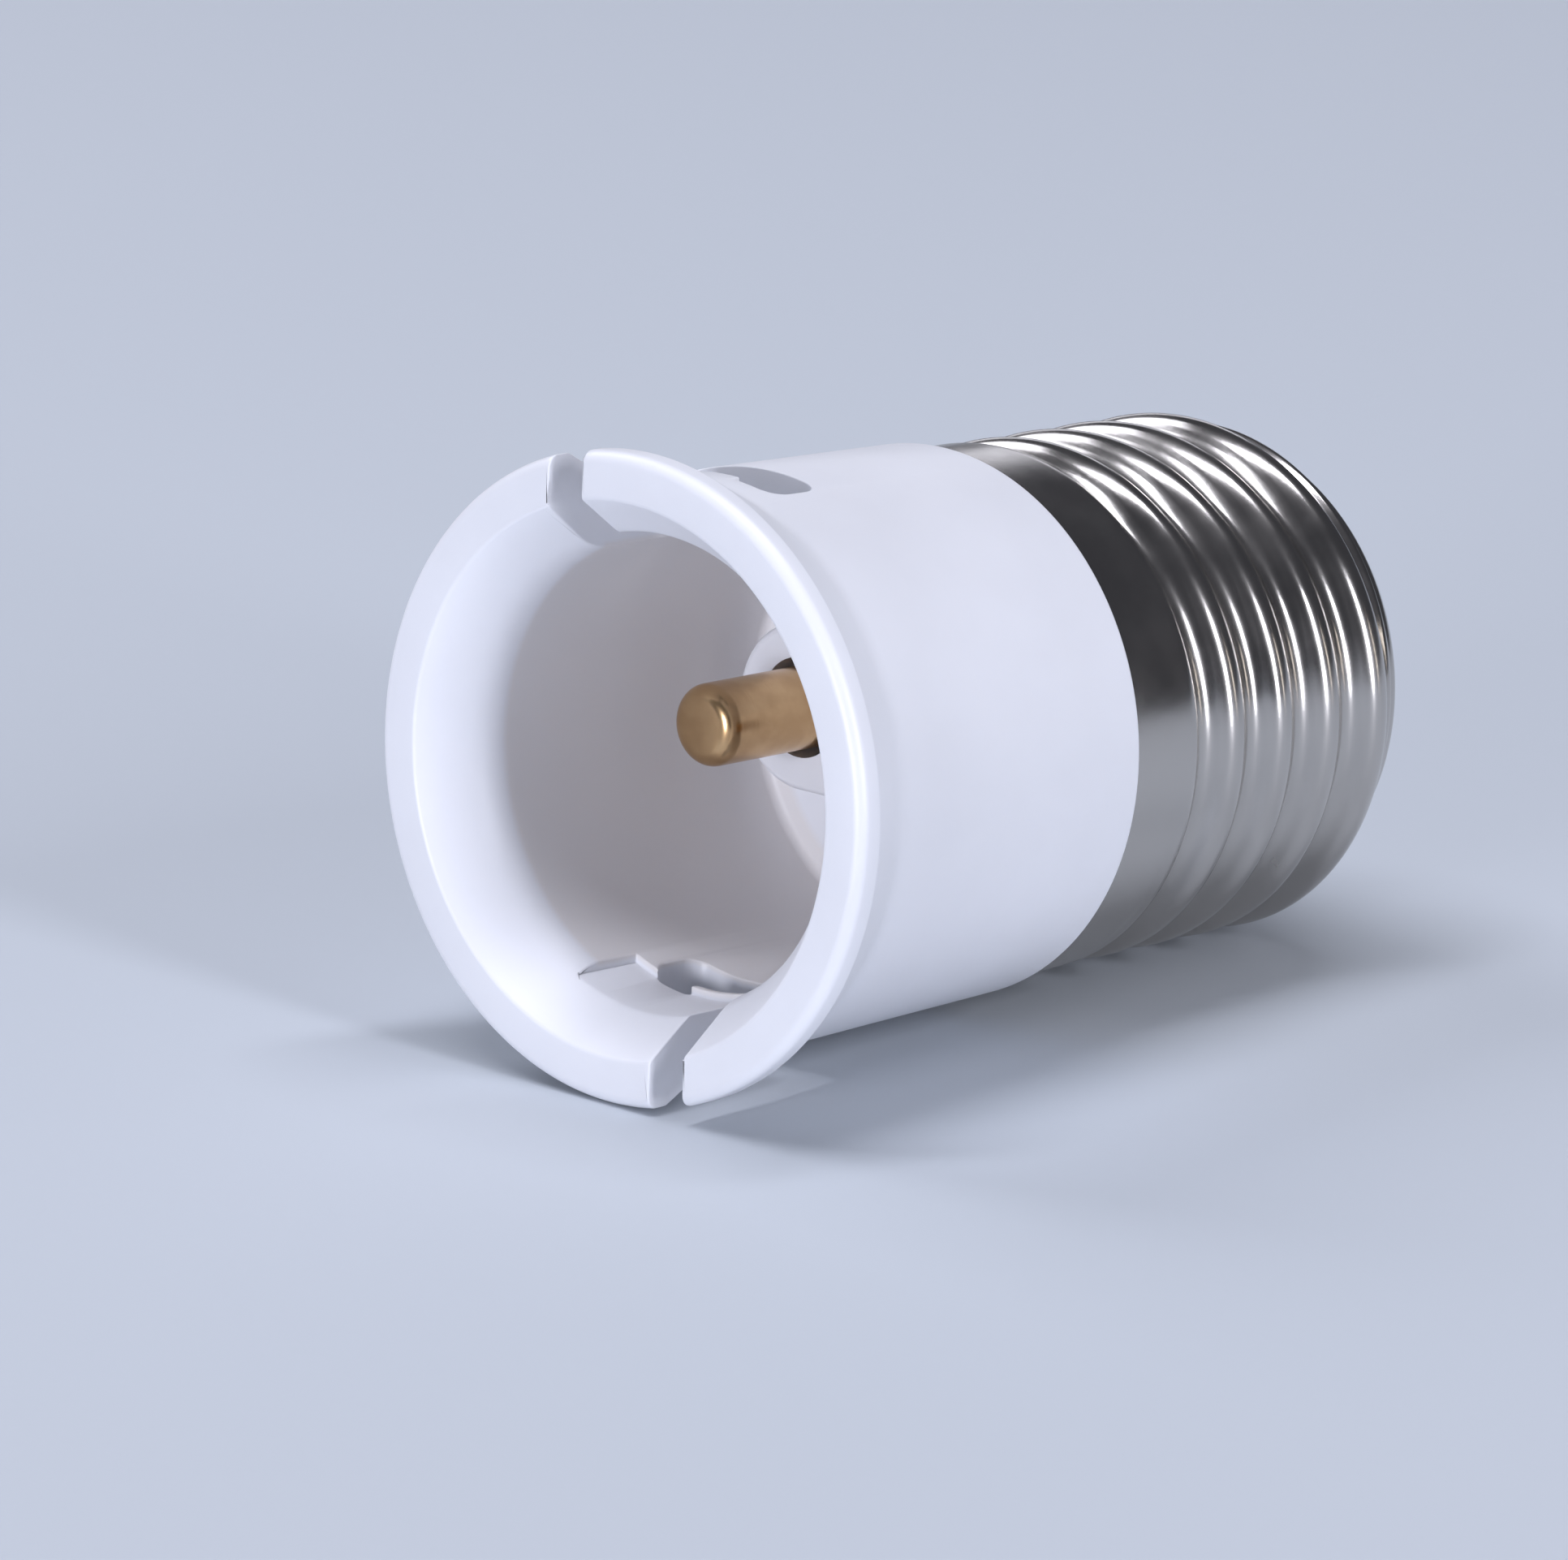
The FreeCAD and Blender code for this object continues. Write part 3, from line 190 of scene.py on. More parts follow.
def deselect_mesh(mesh):
    for part in list(mesh.faces) + list(mesh.edges) + list(mesh.verts):
        part.select = False


def extrude(along, across=0.0, up=0.0):
    bpy.ops.mesh.extrude_region_move(TRANSFORM_OT_translate={"value": (along, across, up)})


def pick(piece, wanted):
    """Selects the edges, in edit mode, that a test on their two ends picks out."""
    bpy.ops.mesh.select_mode(type="EDGE")
    mesh = bmesh.from_edit_mesh(piece.data)
    deselect_mesh(mesh)
    for edge in mesh.edges:
        if wanted(edge.verts[0].co, edge.verts[1].co):
            edge.select = True
    mesh.select_flush_mode()
    bmesh.update_edit_mesh(piece.data)


def rounded(corners, steps=8):
    """Points along a section whose corners, given as depth, radius and rounding, are arcs."""
    points = []
    count = len(corners)
    for number, (depth, radius, fillet) in enumerate(corners):
        corner = Vector((depth, radius))
        if not fillet:
            points.append(corner)
            continue
        before = Vector(corners[number - 1][:2]) - corner
        after = Vector(corners[(number + 1) % count][:2]) - corner
        before.normalize()
        after.normalize()
        half = before.angle(after) / 2
        reach = fillet / math.tan(half)
        middle = corner + (before + after).normalized() * (fillet / math.sin(half))
        start = corner + before * reach - middle
        sweep = start.angle_signed(corner + after * reach - middle)
        for step in range(steps + 1):
            turn = Matrix.Rotation(-sweep * step / steps, 2)
            points.append(middle + turn @ start)
    return points


def start_ring(name, section, segments):
    """A circle at the section's first point, in edit mode with all of it selected."""
    clear_selection()
    depth, radius = section[0]
    bpy.ops.mesh.primitive_circle_add(
        vertices=segments, radius=radius, location=(depth, 0, 0), rotation=(0, math.pi / 2, 0)
    )
    piece = bpy.context.object
    piece.name = name
    settle()
    bpy.ops.object.mode_set(mode="EDIT")
    bpy.ops.mesh.select_all(action="SELECT")
    return piece


def draw_out(section):
    """Extrudes the ring from point to point of a section and resizes it at each."""
    for (depth, radius), (next_depth, next_radius) in zip(section, section[1:]):
        extrude(next_depth - depth)
        grow = next_radius / radius
        bpy.ops.transform.resize(value=(1, grow, grow), center_override=(next_depth, 0, 0))


def turn_up(name, section, segments, closed=True):
    """Turns a section on a lathe, closed to a ring or with a face over its first circle."""
    piece = start_ring(name, section, segments)
    if not closed:
        bpy.ops.mesh.edge_face_add()
    draw_out(section)
    if closed:
        draw_out([section[-1], section[0]])
    bpy.ops.mesh.select_all(action="SELECT")
    bpy.ops.mesh.remove_doubles(threshold=NEAR)
    bpy.ops.mesh.normals_make_consistent(inside=False)
    bpy.ops.object.mode_set(mode="OBJECT")
    return piece


def bar(name, radius, start, end, across=0.0, up=0.0, sides=96):
    """A round bar along the adapter, for joining on or cutting out."""
    clear_selection()
    bpy.ops.mesh.primitive_cylinder_add(
        vertices=sides, radius=radius, depth=end - start,
        location=((start + end) / 2, across, up), rotation=(0, math.pi / 2, 0),
    )
    piece = bpy.context.object
    piece.name = name
    settle()
    return piece


def combine(piece, tool, how):
    """Joins a tool's volume to a piece or cuts it out, and takes the tool away."""
    take(piece)
    change = piece.modifiers.new(how.title(), "BOOLEAN")
    change.operation = how
    change.solver = "EXACT"
    change.object = tool
    bpy.ops.object.modifier_apply(modifier=change.name)
    mesh = tool.data
    bpy.data.objects.remove(tool)
    bpy.data.meshes.remove(mesh)


def lay_down(piece, material, angle=35.0):
    """Puts a finished piece where the adapter lies, with its place in its mesh."""
    take(piece)
    piece.matrix_world = LAY
    settle()
    bpy.ops.object.shade_smooth_by_angle(angle=math.radians(angle))
    piece.data.materials.clear()
    piece.data.materials.append(material)


# Materials

def add_node(tree, kind, settings=None, links=None):
    """A node with its settings and its inputs' values, fed by the given sockets."""
    node = tree.nodes.new(kind)
    for key, value in (settings or {}).items():
        if isinstance(key, str) and key not in node.inputs:
            setattr(node, key, value)
        else:
            node.inputs[key].default_value = value
    for key, source in (links or {}).items():
        tree.links.new(source, node.inputs[key])
    return node


def new_material(name):
    material = bpy.data.materials.new(name)
    material.use_nodes = True
    material.node_tree.nodes.clear()
    return material, material.node_tree


def finish_material(tree, shader):
    output = add_node(tree, "ShaderNodeOutputMaterial")
    tree.links.new(shader.outputs[0], output.inputs["Surface"])


def adapter_coordinates(tree):
    """Object coordinates turned to the adapter's own axis, with the mouth at the origin."""
    place = add_node(tree, "ShaderNodeTexCoord")
    return add_node(
        tree, "ShaderNodeMapping",
        {"vector_type": "TEXTURE", "Location": MOUTH, "Rotation": (0, LEAN, 0)},
        {"Vector": place.outputs["Object"]},
    )


# Depth from the mouth and distance from the axis, in mm, between which the painted shade on the
# bore's wall fades
BORE_SHADE_FRONT = (3.8, 4.2)
BORE_SHADE_BOSS = (9.7, 10.2)
BORE_SHADE_WALL = (11.3, 11.5)


def bore_painted_shade_mask(tree, place):
    """Where the painted shade goes: 1 on the bore's wall behind the funnel, 0 on the boss, the
    recesses and all outside.
    """
    parts = add_node(tree, "ShaderNodeSeparateXYZ", {}, {"Vector": place.outputs[0]})
    across = add_node(
        tree, "ShaderNodeCombineXYZ", {}, {"Y": parts.outputs["Y"], "Z": parts.outputs["Z"]}
    )
    away = add_node(tree, "ShaderNodeVectorMath", {"operation": "LENGTH"}, {0: across.outputs[0]})
    mask = None
    for source, (low, high), rising in (
        (parts.outputs["X"], BORE_SHADE_FRONT, True),
        (away.outputs["Value"], BORE_SHADE_WALL, False),
        (away.outputs["Value"], BORE_SHADE_BOSS, True),
    ):
        limit = add_node(
            tree, "ShaderNodeMapRange",
            {"From Min": low * MM, "From Max": high * MM,
             "To Min": 0.0 if rising else 1.0, "To Max": 1.0 if rising else 0.0},
            {"Value": source},
        )
        if mask is None:
            mask = limit
            continue
        mask = add_node(
            tree, "ShaderNodeMath", {"operation": "MULTIPLY"},
            {0: mask.outputs[0], 1: limit.outputs[0]},
        )
    return mask


def moulded_pbt(finishes):
    """White PBT, injection moulded: satin, with a faint orange peel and uneven whiteness.

    The moulding is one white. The bore's tint is painted shade: it lays a greyer,
    warmer white on the bore's wall behind the funnel.
    """
    material, tree = new_material("moulded_pbt")
    place = adapter_coordinates(tree)
    cloudy = add_node(
        tree, "ShaderNodeTexNoise", {"Scale": 1 / (9 * MM), "Detail": 3.0, "Roughness": 0.55},
        {"Vector": place.outputs[0]},
    )
    white = finishes.moulding
    shade = add_node(tree, "ShaderNodeValToRGB", {}, {"Fac": cloudy.outputs["Fac"]})
    shade.color_ramp.elements[0].position = 0.35
    shade.color_ramp.elements[0].color = [c * 0.965 for c in white[:3]] + [1.0]
    shade.color_ramp.elements[1].position = 0.65
    shade.color_ramp.elements[1].color = list(white)
    # Painted shade: the bore's greyer colour is mixed over the white on the bore's wall
    inside = bore_painted_shade_mask(tree, place)
    painted_shade_mix = add_node(
        tree, "ShaderNodeMix", {"data_type": "RGBA", 7: finishes.bore},
        {0: inside.outputs[0], 6: shade.outputs["Color"]},
    )
    peel = add_node(
        tree, "ShaderNodeTexNoise", {"Scale": 1 / (0.55 * MM), "Detail": 2.0, "Roughness": 0.5},
        {"Vector": place.outputs[0]},
    )
    relief = add_node(
        tree, "ShaderNodeBump", {"Strength": 0.25, "Distance": 0.02 * MM},
        {"Height": peel.outputs["Fac"]},
    )
    gloss = add_node(
        tree, "ShaderNodeMapRange", {"To Min": 0.34, "To Max": 0.46},
        {"Value": cloudy.outputs["Fac"]},
    )
    shader = add_node(
        tree, "ShaderNodeBsdfPrincipled",
        {"IOR": 1.5, "Subsurface Weight": 0.08, "Subsurface Scale": 0.6 * MM,
         "Subsurface Radius": (1.0, 0.9, 0.8)},
        {"Base Color": painted_shade_mix.outputs[2], "Roughness": gloss.outputs["Result"],
         "Normal": relief.outputs["Normal"]},
    )
    finish_material(tree, shader)
    return material


def plated_nickel(finishes):
    """Bright nickel on rolled brass sheet: mirror-like, with faint drag lines round the thread."""
    material, tree = new_material("plated_nickel")
    place = adapter_coordinates(tree)
    round_axis = add_node(
        tree, "ShaderNodeMapping", {"Scale": (1.0, 0.03, 0.03)}, {"Vector": place.outputs[0]}
    )
    drag = add_node(
        tree, "ShaderNodeTexNoise", {"Scale": 1 / (0.25 * MM), "Detail": 3.0, "Roughness": 0.6},
        {"Vector": round_axis.outputs[0]},
    )
    haze = add_node(
        tree, "ShaderNodeTexNoise", {"Scale": 1 / (4 * MM), "Detail": 4.0, "Roughness": 0.6},
        {"Vector": place.outputs[0]},
    )
    rough = add_node(
        tree, "ShaderNodeMapRange",
        {"From Min": 0.3, "From Max": 0.75, "To Min": 0.16, "To Max": 0.28},
        {"Value": haze.outputs["Fac"]},
    )
    relief = add_node(
        tree, "ShaderNodeBump", {"Strength": 0.2, "Distance": 0.006 * MM},
        {"Height": drag.outputs["Fac"]},
    )
    shader = add_node(
        tree, "ShaderNodeBsdfPrincipled",
        {"Base Color": finishes.nickel, "Metallic": 1.0},
        {"Roughness": rough.outputs["Result"], "Normal": relief.outputs["Normal"]},
    )
    finish_material(tree, shader)
    return material


def turned_brass(finishes, off_axis):
    """Free-cutting brass, turned: warm yellow dulled by handling, with rings from the tool."""
    material, tree = new_material("turned_brass")
    place = adapter_coordinates(tree)
    parts = add_node(tree, "ShaderNodeSeparateXYZ", {}, {"Vector": place.outputs[0]})
    side = add_node(tree, "ShaderNodeMath", {"operation": "ABSOLUTE"}, {0: parts.outputs["Y"]})
    across = add_node(
        tree, "ShaderNodeMath", {"operation": "SUBTRACT", 1: off_axis}, {0: side.outputs[0]}
    )
    flat = add_node(
        tree, "ShaderNodeCombineXYZ", {}, {"X": across.outputs[0], "Y": parts.outputs["Z"]}
    )
    away = add_node(tree, "ShaderNodeVectorMath", {"operation": "LENGTH"}, {0: flat.outputs[0]})
    spot = add_node(
        tree, "ShaderNodeCombineXYZ", {},
        {"X": parts.outputs["X"], "Y": away.outputs["Value"]},
    )
    rings = add_node(
        tree, "ShaderNodeTexNoise", {"Scale": 1 / (0.12 * MM), "Detail": 2.0},
        {"Vector": spot.outputs[0]},
    )
    relief = add_node(
        tree, "ShaderNodeBump", {"Strength": 0.35, "Distance": 0.01 * MM},
        {"Height": rings.outputs["Fac"]},
    )
    tarnish = add_node(
        tree, "ShaderNodeTexNoise", {"Scale": 1 / (1.5 * MM), "Detail": 4.0},
        {"Vector": place.outputs[0]},
    )
    tone = add_node(tree, "ShaderNodeValToRGB", {}, {"Fac": tarnish.outputs["Fac"]})
    brass = finishes.brass
    tone.color_ramp.elements[0].position = 0.35
    tone.color_ramp.elements[0].color = [brass[0] * 0.86, brass[1] * 0.83, brass[2] * 0.8, 1.0]
    tone.color_ramp.elements[1].position = 0.6
    tone.color_ramp.elements[1].color = list(brass)
    shader = add_node(
        tree, "ShaderNodeBsdfPrincipled", {"Metallic": 1.0, "Roughness": 0.26},
        {"Base Color": tone.outputs["Color"], "Normal": relief.outputs["Normal"]},
    )
    finish_material(tree, shader)
    return material


def pressed_metal(name, code, rough, grain):
    """Plain pressed, drawn or soldered metal inside the shell, with a fine uneven grain."""
    material, tree = new_material(name)
    place = adapter_coordinates(tree)
    speckle = add_node(
        tree, "ShaderNodeTexNoise", {"Scale": 1 / (grain * MM), "Detail": 3.0},
        {"Vector": place.outputs[0]},
    )
    tone = add_node(tree, "ShaderNodeValToRGB", {}, {"Fac": speckle.outputs["Fac"]})
    bright = linear(code)
    tone.color_ramp.elements[0].color = [c * 0.7 for c in bright[:3]] + [1.0]
    tone.color_ramp.elements[1].color = list(bright)
    relief = add_node(
        tree, "ShaderNodeBump", {"Strength": 0.3, "Distance": 0.01 * MM},
        {"Height": speckle.outputs["Fac"]},
    )
    shader = add_node(
        tree, "ShaderNodeBsdfPrincipled", {"Metallic": 1.0, "Roughness": rough},
        {"Base Color": tone.outputs["Color"], "Normal": relief.outputs["Normal"]},
    )
    finish_material(tree, shader)
    return material


def moulded_resin(name, base, rough, grain):
    """Pressed thermoset or woven sleeving: dull, with a visible filler or weave."""
    material, tree = new_material(name)
    place = adapter_coordinates(tree)
    filler = add_node(
        tree, "ShaderNodeTexNoise", {"Scale": 1 / (grain * MM), "Detail": 5.0, "Roughness": 0.7},
        {"Vector": place.outputs[0]},
    )
    tone = add_node(tree, "ShaderNodeValToRGB", {}, {"Fac": filler.outputs["Fac"]})
    tone.color_ramp.elements[0].position = 0.3
    tone.color_ramp.elements[0].color = [c * 0.72 for c in base[:3]] + [1.0]
    tone.color_ramp.elements[1].position = 0.7
    tone.color_ramp.elements[1].color = [min(1.0, c * 1.2) for c in base[:3]] + [1.0]
    relief = add_node(
        tree, "ShaderNodeBump", {"Strength": 0.3, "Distance": 0.02 * MM},
        {"Height": filler.outputs["Fac"]},
    )
    shader = add_node(
        tree, "ShaderNodeBsdfPrincipled", {"Roughness": rough, "IOR": 1.55},
        {"Base Color": tone.outputs["Color"], "Normal": relief.outputs["Normal"]},
    )
    finish_material(tree, shader)
    return material


# Operators, one for each piece or group of like pieces

class ADAPTER_OT_moulding(bpy.types.Operator):
    """Models the white body with its funnel, slots, boss, guides and spigot"""

    bl_idname = "adapter.moulding"
    bl_label = "White moulding"

    def execute(self, context):
        sizes = context.scene.adapter_moulding
        contacts = context.scene.adapter_contacts
        floor_back = sizes.floor_depth + sizes.floor_wall
        section = rounded([
            (0, sizes.mouth_radius, 0.3 * MM),
            (0, sizes.rim_radius, 0.6 * MM),
            (sizes.rim_land, sizes.rim_radius, 0.4 * MM),
            (sizes.flare_depth, sizes.neck_radius, 3.0 * MM),
            (sizes.body_length, sizes.shoulder_radius, 0.3 * MM),
            (sizes.body_length, sizes.land_radius, 0),
            (sizes.body_length + 3.6 * MM, sizes.land_radius, 0),
            (sizes.body_length + 4.2 * MM, sizes.spigot_radius, 0),
            (sizes.spigot_end, sizes.spigot_radius, 0.2 * MM),
            (sizes.spigot_end, sizes.cavity_radius, 0.2 * MM),
            (floor_back, sizes.cavity_radius, 0),
            (floor_back, 3 * MM, 0),
            (sizes.floor_depth, 3 * MM, 0),
            (sizes.floor_depth, sizes.bore_radius, 0.5 * MM),
            (sizes.funnel_depth, sizes.bore_radius, 3.5 * MM),
        ])
        body = turn_up("body_moulding", section, sizes.segments)
        combine(body, bar("plug", 3.2 * MM, sizes.floor_depth, floor_back, sides=48), "UNION")
        self.add_boss(body, sizes, contacts)
        self.add_guides(body, sizes, contacts, floor_back)
        for turned in (0, math.pi):
            combine(body, self.recess_cutter(sizes, turned), "DIFFERENCE")
            combine(body, self.slot_cutter(sizes, turned), "DIFFERENCE")
        self.soften(body, sizes)
        lay_down(body, moulded_pbt(context.scene.adapter_finishes))
        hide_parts("housing")
        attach(body, "adapter")
        return {"FINISHED"}

    def add_guides(self, body, sizes, contacts, floor_back):
        """Guide tubes and screw pillars behind the floor, with their bores and pilot holes."""
        half = contacts.spacing / 2
        back = floor_back + 6 * MM
        root = floor_back - 0.5 * MM
        tube_radius = contacts.guide_radius + 1.05 * MM
        pillar_place, pillar_radius = 6.6 * MM, 2.3 * MM
        pilot_radius, pilot_end = 1.23 * MM, back - 5.4 * MM
        past_boss = sizes.floor_depth - 5 * MM
        for side in (1, -1):
            tube = bar("tube", tube_radius, root, back, side * half)
            combine(body, tube, "UNION")
            pillar = bar("pillar", pillar_radius, root, back, 0, side * pillar_place, 48)
            combine(body, pillar, "UNION")
        for side in (1, -1):
            window = bar("window", sizes.window_radius, past_boss, back, side * half)
            combine(body, window, "DIFFERENCE")
            guide = bar("guide", contacts.guide_radius, floor_back, back + MM, side * half)
            combine(body, guide, "DIFFERENCE")
            pilot = bar("pilot", pilot_radius, pilot_end, back + MM, 0, side * pillar_place, 32)
            combine(body, pilot, "DIFFERENCE")

    def add_boss(self, body, sizes, contacts):
        """A round bar is pulled apart into a stadium, edged and joined to the floor."""
        front = sizes.floor_depth - sizes.boss_height
        boss = bar("boss", sizes.boss_radius, front, sizes.floor_depth + 0.5 * MM)
        take(boss)
        bpy.ops.object.mode_set(mode="EDIT")
        for side in (1, -1):
            pick(boss, lambda a, b: side * a.y > NEAR or side * b.y > NEAR)
            mesh = bmesh.from_edit_mesh(boss.data)
            for vert in mesh.verts:
                vert.select = side * vert.co.y > NEAR
            bpy.ops.mesh.select_mode(type="VERT")
            bpy.ops.transform.translate(value=(0, side * contacts.spacing / 2, 0))
        pick(boss, lambda a, b: abs(a.x - front) < NEAR and abs(b.x - front) < NEAR)
        bpy.ops.mesh.bevel(offset=0.4 * MM, segments=4, affect="EDGES")
        bpy.ops.object.mode_set(mode="OBJECT")
        combine(body, boss, "UNION")

    def recess_cutter(self, sizes, turned):
        """A slice of a slightly wider bore, from the entry slot to beyond the pin seat."""
        wider = sizes.bore_radius + sizes.recess_step
        ring = bar("recess", wider, 2 * MM, sizes.recess_depth, sides=sizes.segments)
        clear_selection()
        left = sizes.slot_offset
        right = -sizes.recess_end
        bpy.ops.mesh.primitive_cube_add(size=1, location=(0, (left + right) / 2, wider))
        block = bpy.context.object
        block.scale = (sizes.floor_depth, left - right, wider)
        settle()
        combine(ring, block, "INTERSECT")
        ring.rotation_euler.x = turned
        take(ring)
        settle()
        return ring

    def slot_cutter(self, sizes, turned):
        """The J is drawn by extruding a plane's edges, pulled up and rounded at its corners."""
        near = sizes.slot_offset - sizes.slot_width / 2
        far = sizes.slot_offset + sizes.slot_width / 2
        hook = sizes.hook_depth
        back = sizes.slot_depth
        seat_near = sizes.seat_width - sizes.seat_end
        seat_far = -sizes.seat_end
        front = -MM
        height = 17 * MM
        clear_selection()
        bpy.ops.mesh.primitive_plane_add(
            size=1, location=((front + hook) / 2, (near + far) / 2, 0)
        )
        cutter = bpy.context.object
        cutter.scale = (hook - front, far - near, 1)
        settle()
        bpy.ops.object.mode_set(mode="EDIT")

        def at_x(place, low, high):
            def wanted(a, b):
                on_line = abs(a.x - place) < NEAR and abs(b.x - place) < NEAR
                return on_line and low - NEAR < min(a.y, b.y) and max(a.y, b.y) < high + NEAR
            return wanted

        def at_y(place):
            return lambda a, b: (
                abs(a.y - place) < NEAR and abs(b.y - place) < NEAR
                and min(a.x, b.x) > hook - NEAR
            )

        pick(cutter, at_x(hook, near, far))
        extrude(back - hook)
        pick(cutter, at_y(near))
        extrude(0, seat_near - near)
        pick(cutter, at_y(seat_near))
        extrude(0, seat_far - seat_near)
        pick(cutter, at_x(hook, seat_far, seat_near))
        extrude(sizes.seat_depth - hook)
        bpy.ops.mesh.select_all(action="SELECT")
        extrude(0, 0, height)
        bpy.ops.mesh.select_all(action="SELECT")
        bpy.ops.mesh.normals_make_consistent(inside=False)
        bpy.ops.mesh.dissolve_limited(angle_limit=0.01)
        seat = sizes.seat_depth
        for spots, radius in (
            (((seat, seat_far), (back, seat_far), (back, far)), 1.05 * MM),
            (((hook, near), (hook, seat_near), (seat, seat_near)), 0.25 * MM),
        ):
            def standing(a, b):
                if abs(a.z - b.z) < MM:
                    return False
                return any(abs(a.x - x) < NEAR and abs(a.y - y) < NEAR for x, y in spots)
            pick(cutter, standing)
            bpy.ops.mesh.bevel(offset=radius, segments=7, affect="EDGES")
        bpy.ops.object.mode_set(mode="OBJECT")
        cutter.rotation_euler.x = turned
        settle()
        return cutter

    def soften(self, body, sizes):
        """Edges left sharp by the cuts get the small rounding that a mould gives them."""
        take(body)
        bpy.ops.object.mode_set(mode="EDIT")
        bpy.ops.mesh.select_all(action="SELECT")
        bpy.ops.mesh.remove_doubles(threshold=0.03 * MM)
        bpy.ops.mesh.select_mode(type="EDGE")
        mesh = bmesh.from_edit_mesh(body.data)
        deselect_mesh(mesh)
        # The region round the two slots: how deep, how wide and how far from the axis
        deepest, widest, lowest = sizes.slot_depth + 0.2 * MM, 5.6 * MM, 9 * MM
        for edge in mesh.edges:
            sharp = len(edge.link_faces) == 2 and edge.calc_face_angle(0) > math.radians(40)
            middle = (edge.verts[0].co + edge.verts[1].co) / 2
            at_slot = abs(middle.y) < widest and abs(middle.z) > lowest
            if sharp and at_slot and middle.x < deepest:
                edge.select = True
        bmesh.update_edit_mesh(body.data)
        bpy.ops.mesh.bevel(offset=sizes.edge_round, segments=3, affect="EDGES")
        bpy.ops.object.mode_set(mode="OBJECT")


class ADAPTER_OT_shell(bpy.types.Operator):
    """Rolls the plated screw shell with its collar, thread and end lip"""

    bl_idname = "adapter.shell"
    bl_label = "Screw shell"

    def execute(self, context):
        sizes = context.scene.adapter_shell
        rows = [sizes.collar_start]
        step = 0.15 * MM
        while rows[-1] + step < sizes.thread_gone:
            rows.append(rows[-1] + step)
        section = [Vector((row, sizes.collar_radius)) for row in rows]
        height = sizes.lip_start - sizes.lip_radius
        for number in range(13):
            angle = math.pi / 2 * number / 12
            section.append(Vector((
                sizes.thread_gone + sizes.lip_depth * math.sin(angle),
                sizes.lip_start - height * (1 - math.cos(angle)),
            )))
        shell = self.rolled_tube(section, 160)
        for vert in shell.data.vertices:
            if vert.co.x < sizes.thread_gone - NEAR:
                angle = math.atan2(-vert.co.y, -vert.co.z)
                radius = self.radius_at(sizes, vert.co.x, angle)
                grow = radius / math.hypot(vert.co.y, vert.co.z)
                vert.co.y *= grow
                vert.co.z *= grow
        take(shell)
        sheet = shell.modifiers.new("Sheet", "SOLIDIFY")
        sheet.thickness = sizes.sheet
        sheet.offset = -1.0
        sheet.use_even_offset = True
        bpy.ops.object.modifier_apply(modifier=sheet.name)
        lay_down(shell, plated_nickel(context.scene.adapter_finishes), 50.0)
        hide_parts("screw_shell")
        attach(shell, "adapter")
        return {"FINISHED"}

    def rolled_tube(self, section, segments):
        """The shell's outside as a plain open tube, before its thread is rolled."""
        shell = start_ring("rolled_shell", section, segments)
        draw_out(section)
        bpy.ops.mesh.select_all(action="SELECT")
        bpy.ops.mesh.normals_make_consistent(inside=False)
        bpy.ops.object.mode_set(mode="OBJECT")
        return shell

    def radius_at(self, sizes, depth, angle):
        """The shell's outside: collar, then crests and roots of equal arcs, then the lip."""
        high = sizes.crest_radius - sizes.root_radius
        quarter = sizes.pitch / 4
        arc = ((high / 2) ** 2 + quarter ** 2) / high
        along = (depth - sizes.crest_under + sizes.pitch * angle / (2 * math.pi)) / sizes.pitch
        along = (along - round(along)) * sizes.pitch
        if abs(along) < quarter:
            wave = sizes.crest_radius - arc + math.sqrt(arc ** 2 - along ** 2)
        else:
            along = abs(along) - 2 * quarter
            wave = sizes.root_radius + arc - math.sqrt(arc ** 2 - along ** 2)
        formed = smooth(depth, sizes.collar_end, sizes.thread_full)
        fade = smooth(depth, sizes.thread_fade, sizes.thread_gone)
        plain = sizes.collar_radius * (1 - fade) + sizes.lip_start * fade
        return plain * (1 - formed * (1 - fade)) + wave * formed * (1 - fade)


def smooth(value, start, end):
    """A smooth step from 0 at the start to 1 at the end."""
    share = min(1.0, max(0.0, (value - start) / (end - start)))
    return share * share * (3 - 2 * share)


class ADAPTER_OT_plungers(bpy.types.Operator):
    """Turns the two sprung brass contacts"""

    bl_idname = "adapter.plungers"
    bl_label = "Brass plungers"

    def execute(self, context):
        sizes = context.scene.adapter_contacts
        brass = turned_brass(context.scene.adapter_finishes, sizes.spacing / 2)
        stop = 24.05 * MM
        back = stop + 3.4 * MM
        collar, tail = 3.4 * MM, 1.85 * MM
        section = rounded([
            (sizes.plunger_tip, AXLE, 0),
            (sizes.plunger_tip, sizes.plunger_radius, sizes.plunger_dome),
            (stop, sizes.plunger_radius, 0),
            (stop, collar, 0.15 * MM),
            (stop + MM, collar, 0.15 * MM),
            (stop + MM, tail, 0),
            (back, tail, 0.3 * MM),
            (back, AXLE, 0),
        ], 10)
        for side, word in ((1, "left"), (-1, "right")):
            plunger = turn_up("turned_plunger_" + word, section, 96, closed=False)
            take(plunger)
            bpy.ops.object.mode_set(mode="EDIT")
            pick(plunger, lambda a, b: (
                abs(a.x - back) < NEAR and abs(b.x - back) < NEAR
                and math.hypot(a.y, a.z) < 0.1 * MM and math.hypot(b.y, b.z) < 0.1 * MM
            ))
            bpy.ops.mesh.edge_face_add()
            bpy.ops.mesh.select_all(action="SELECT")
            bpy.ops.mesh.normals_make_consistent(inside=False)
            bpy.ops.object.mode_set(mode="OBJECT")
            plunger.location.y = side * sizes.spacing / 2
            bpy.ops.object.transform_apply(location=True, rotation=False, scale=False)
            lay_down(plunger, brass)
            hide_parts("plunger_" + word)
            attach(plunger, "plunger_" + word)
        return {"FINISHED"}


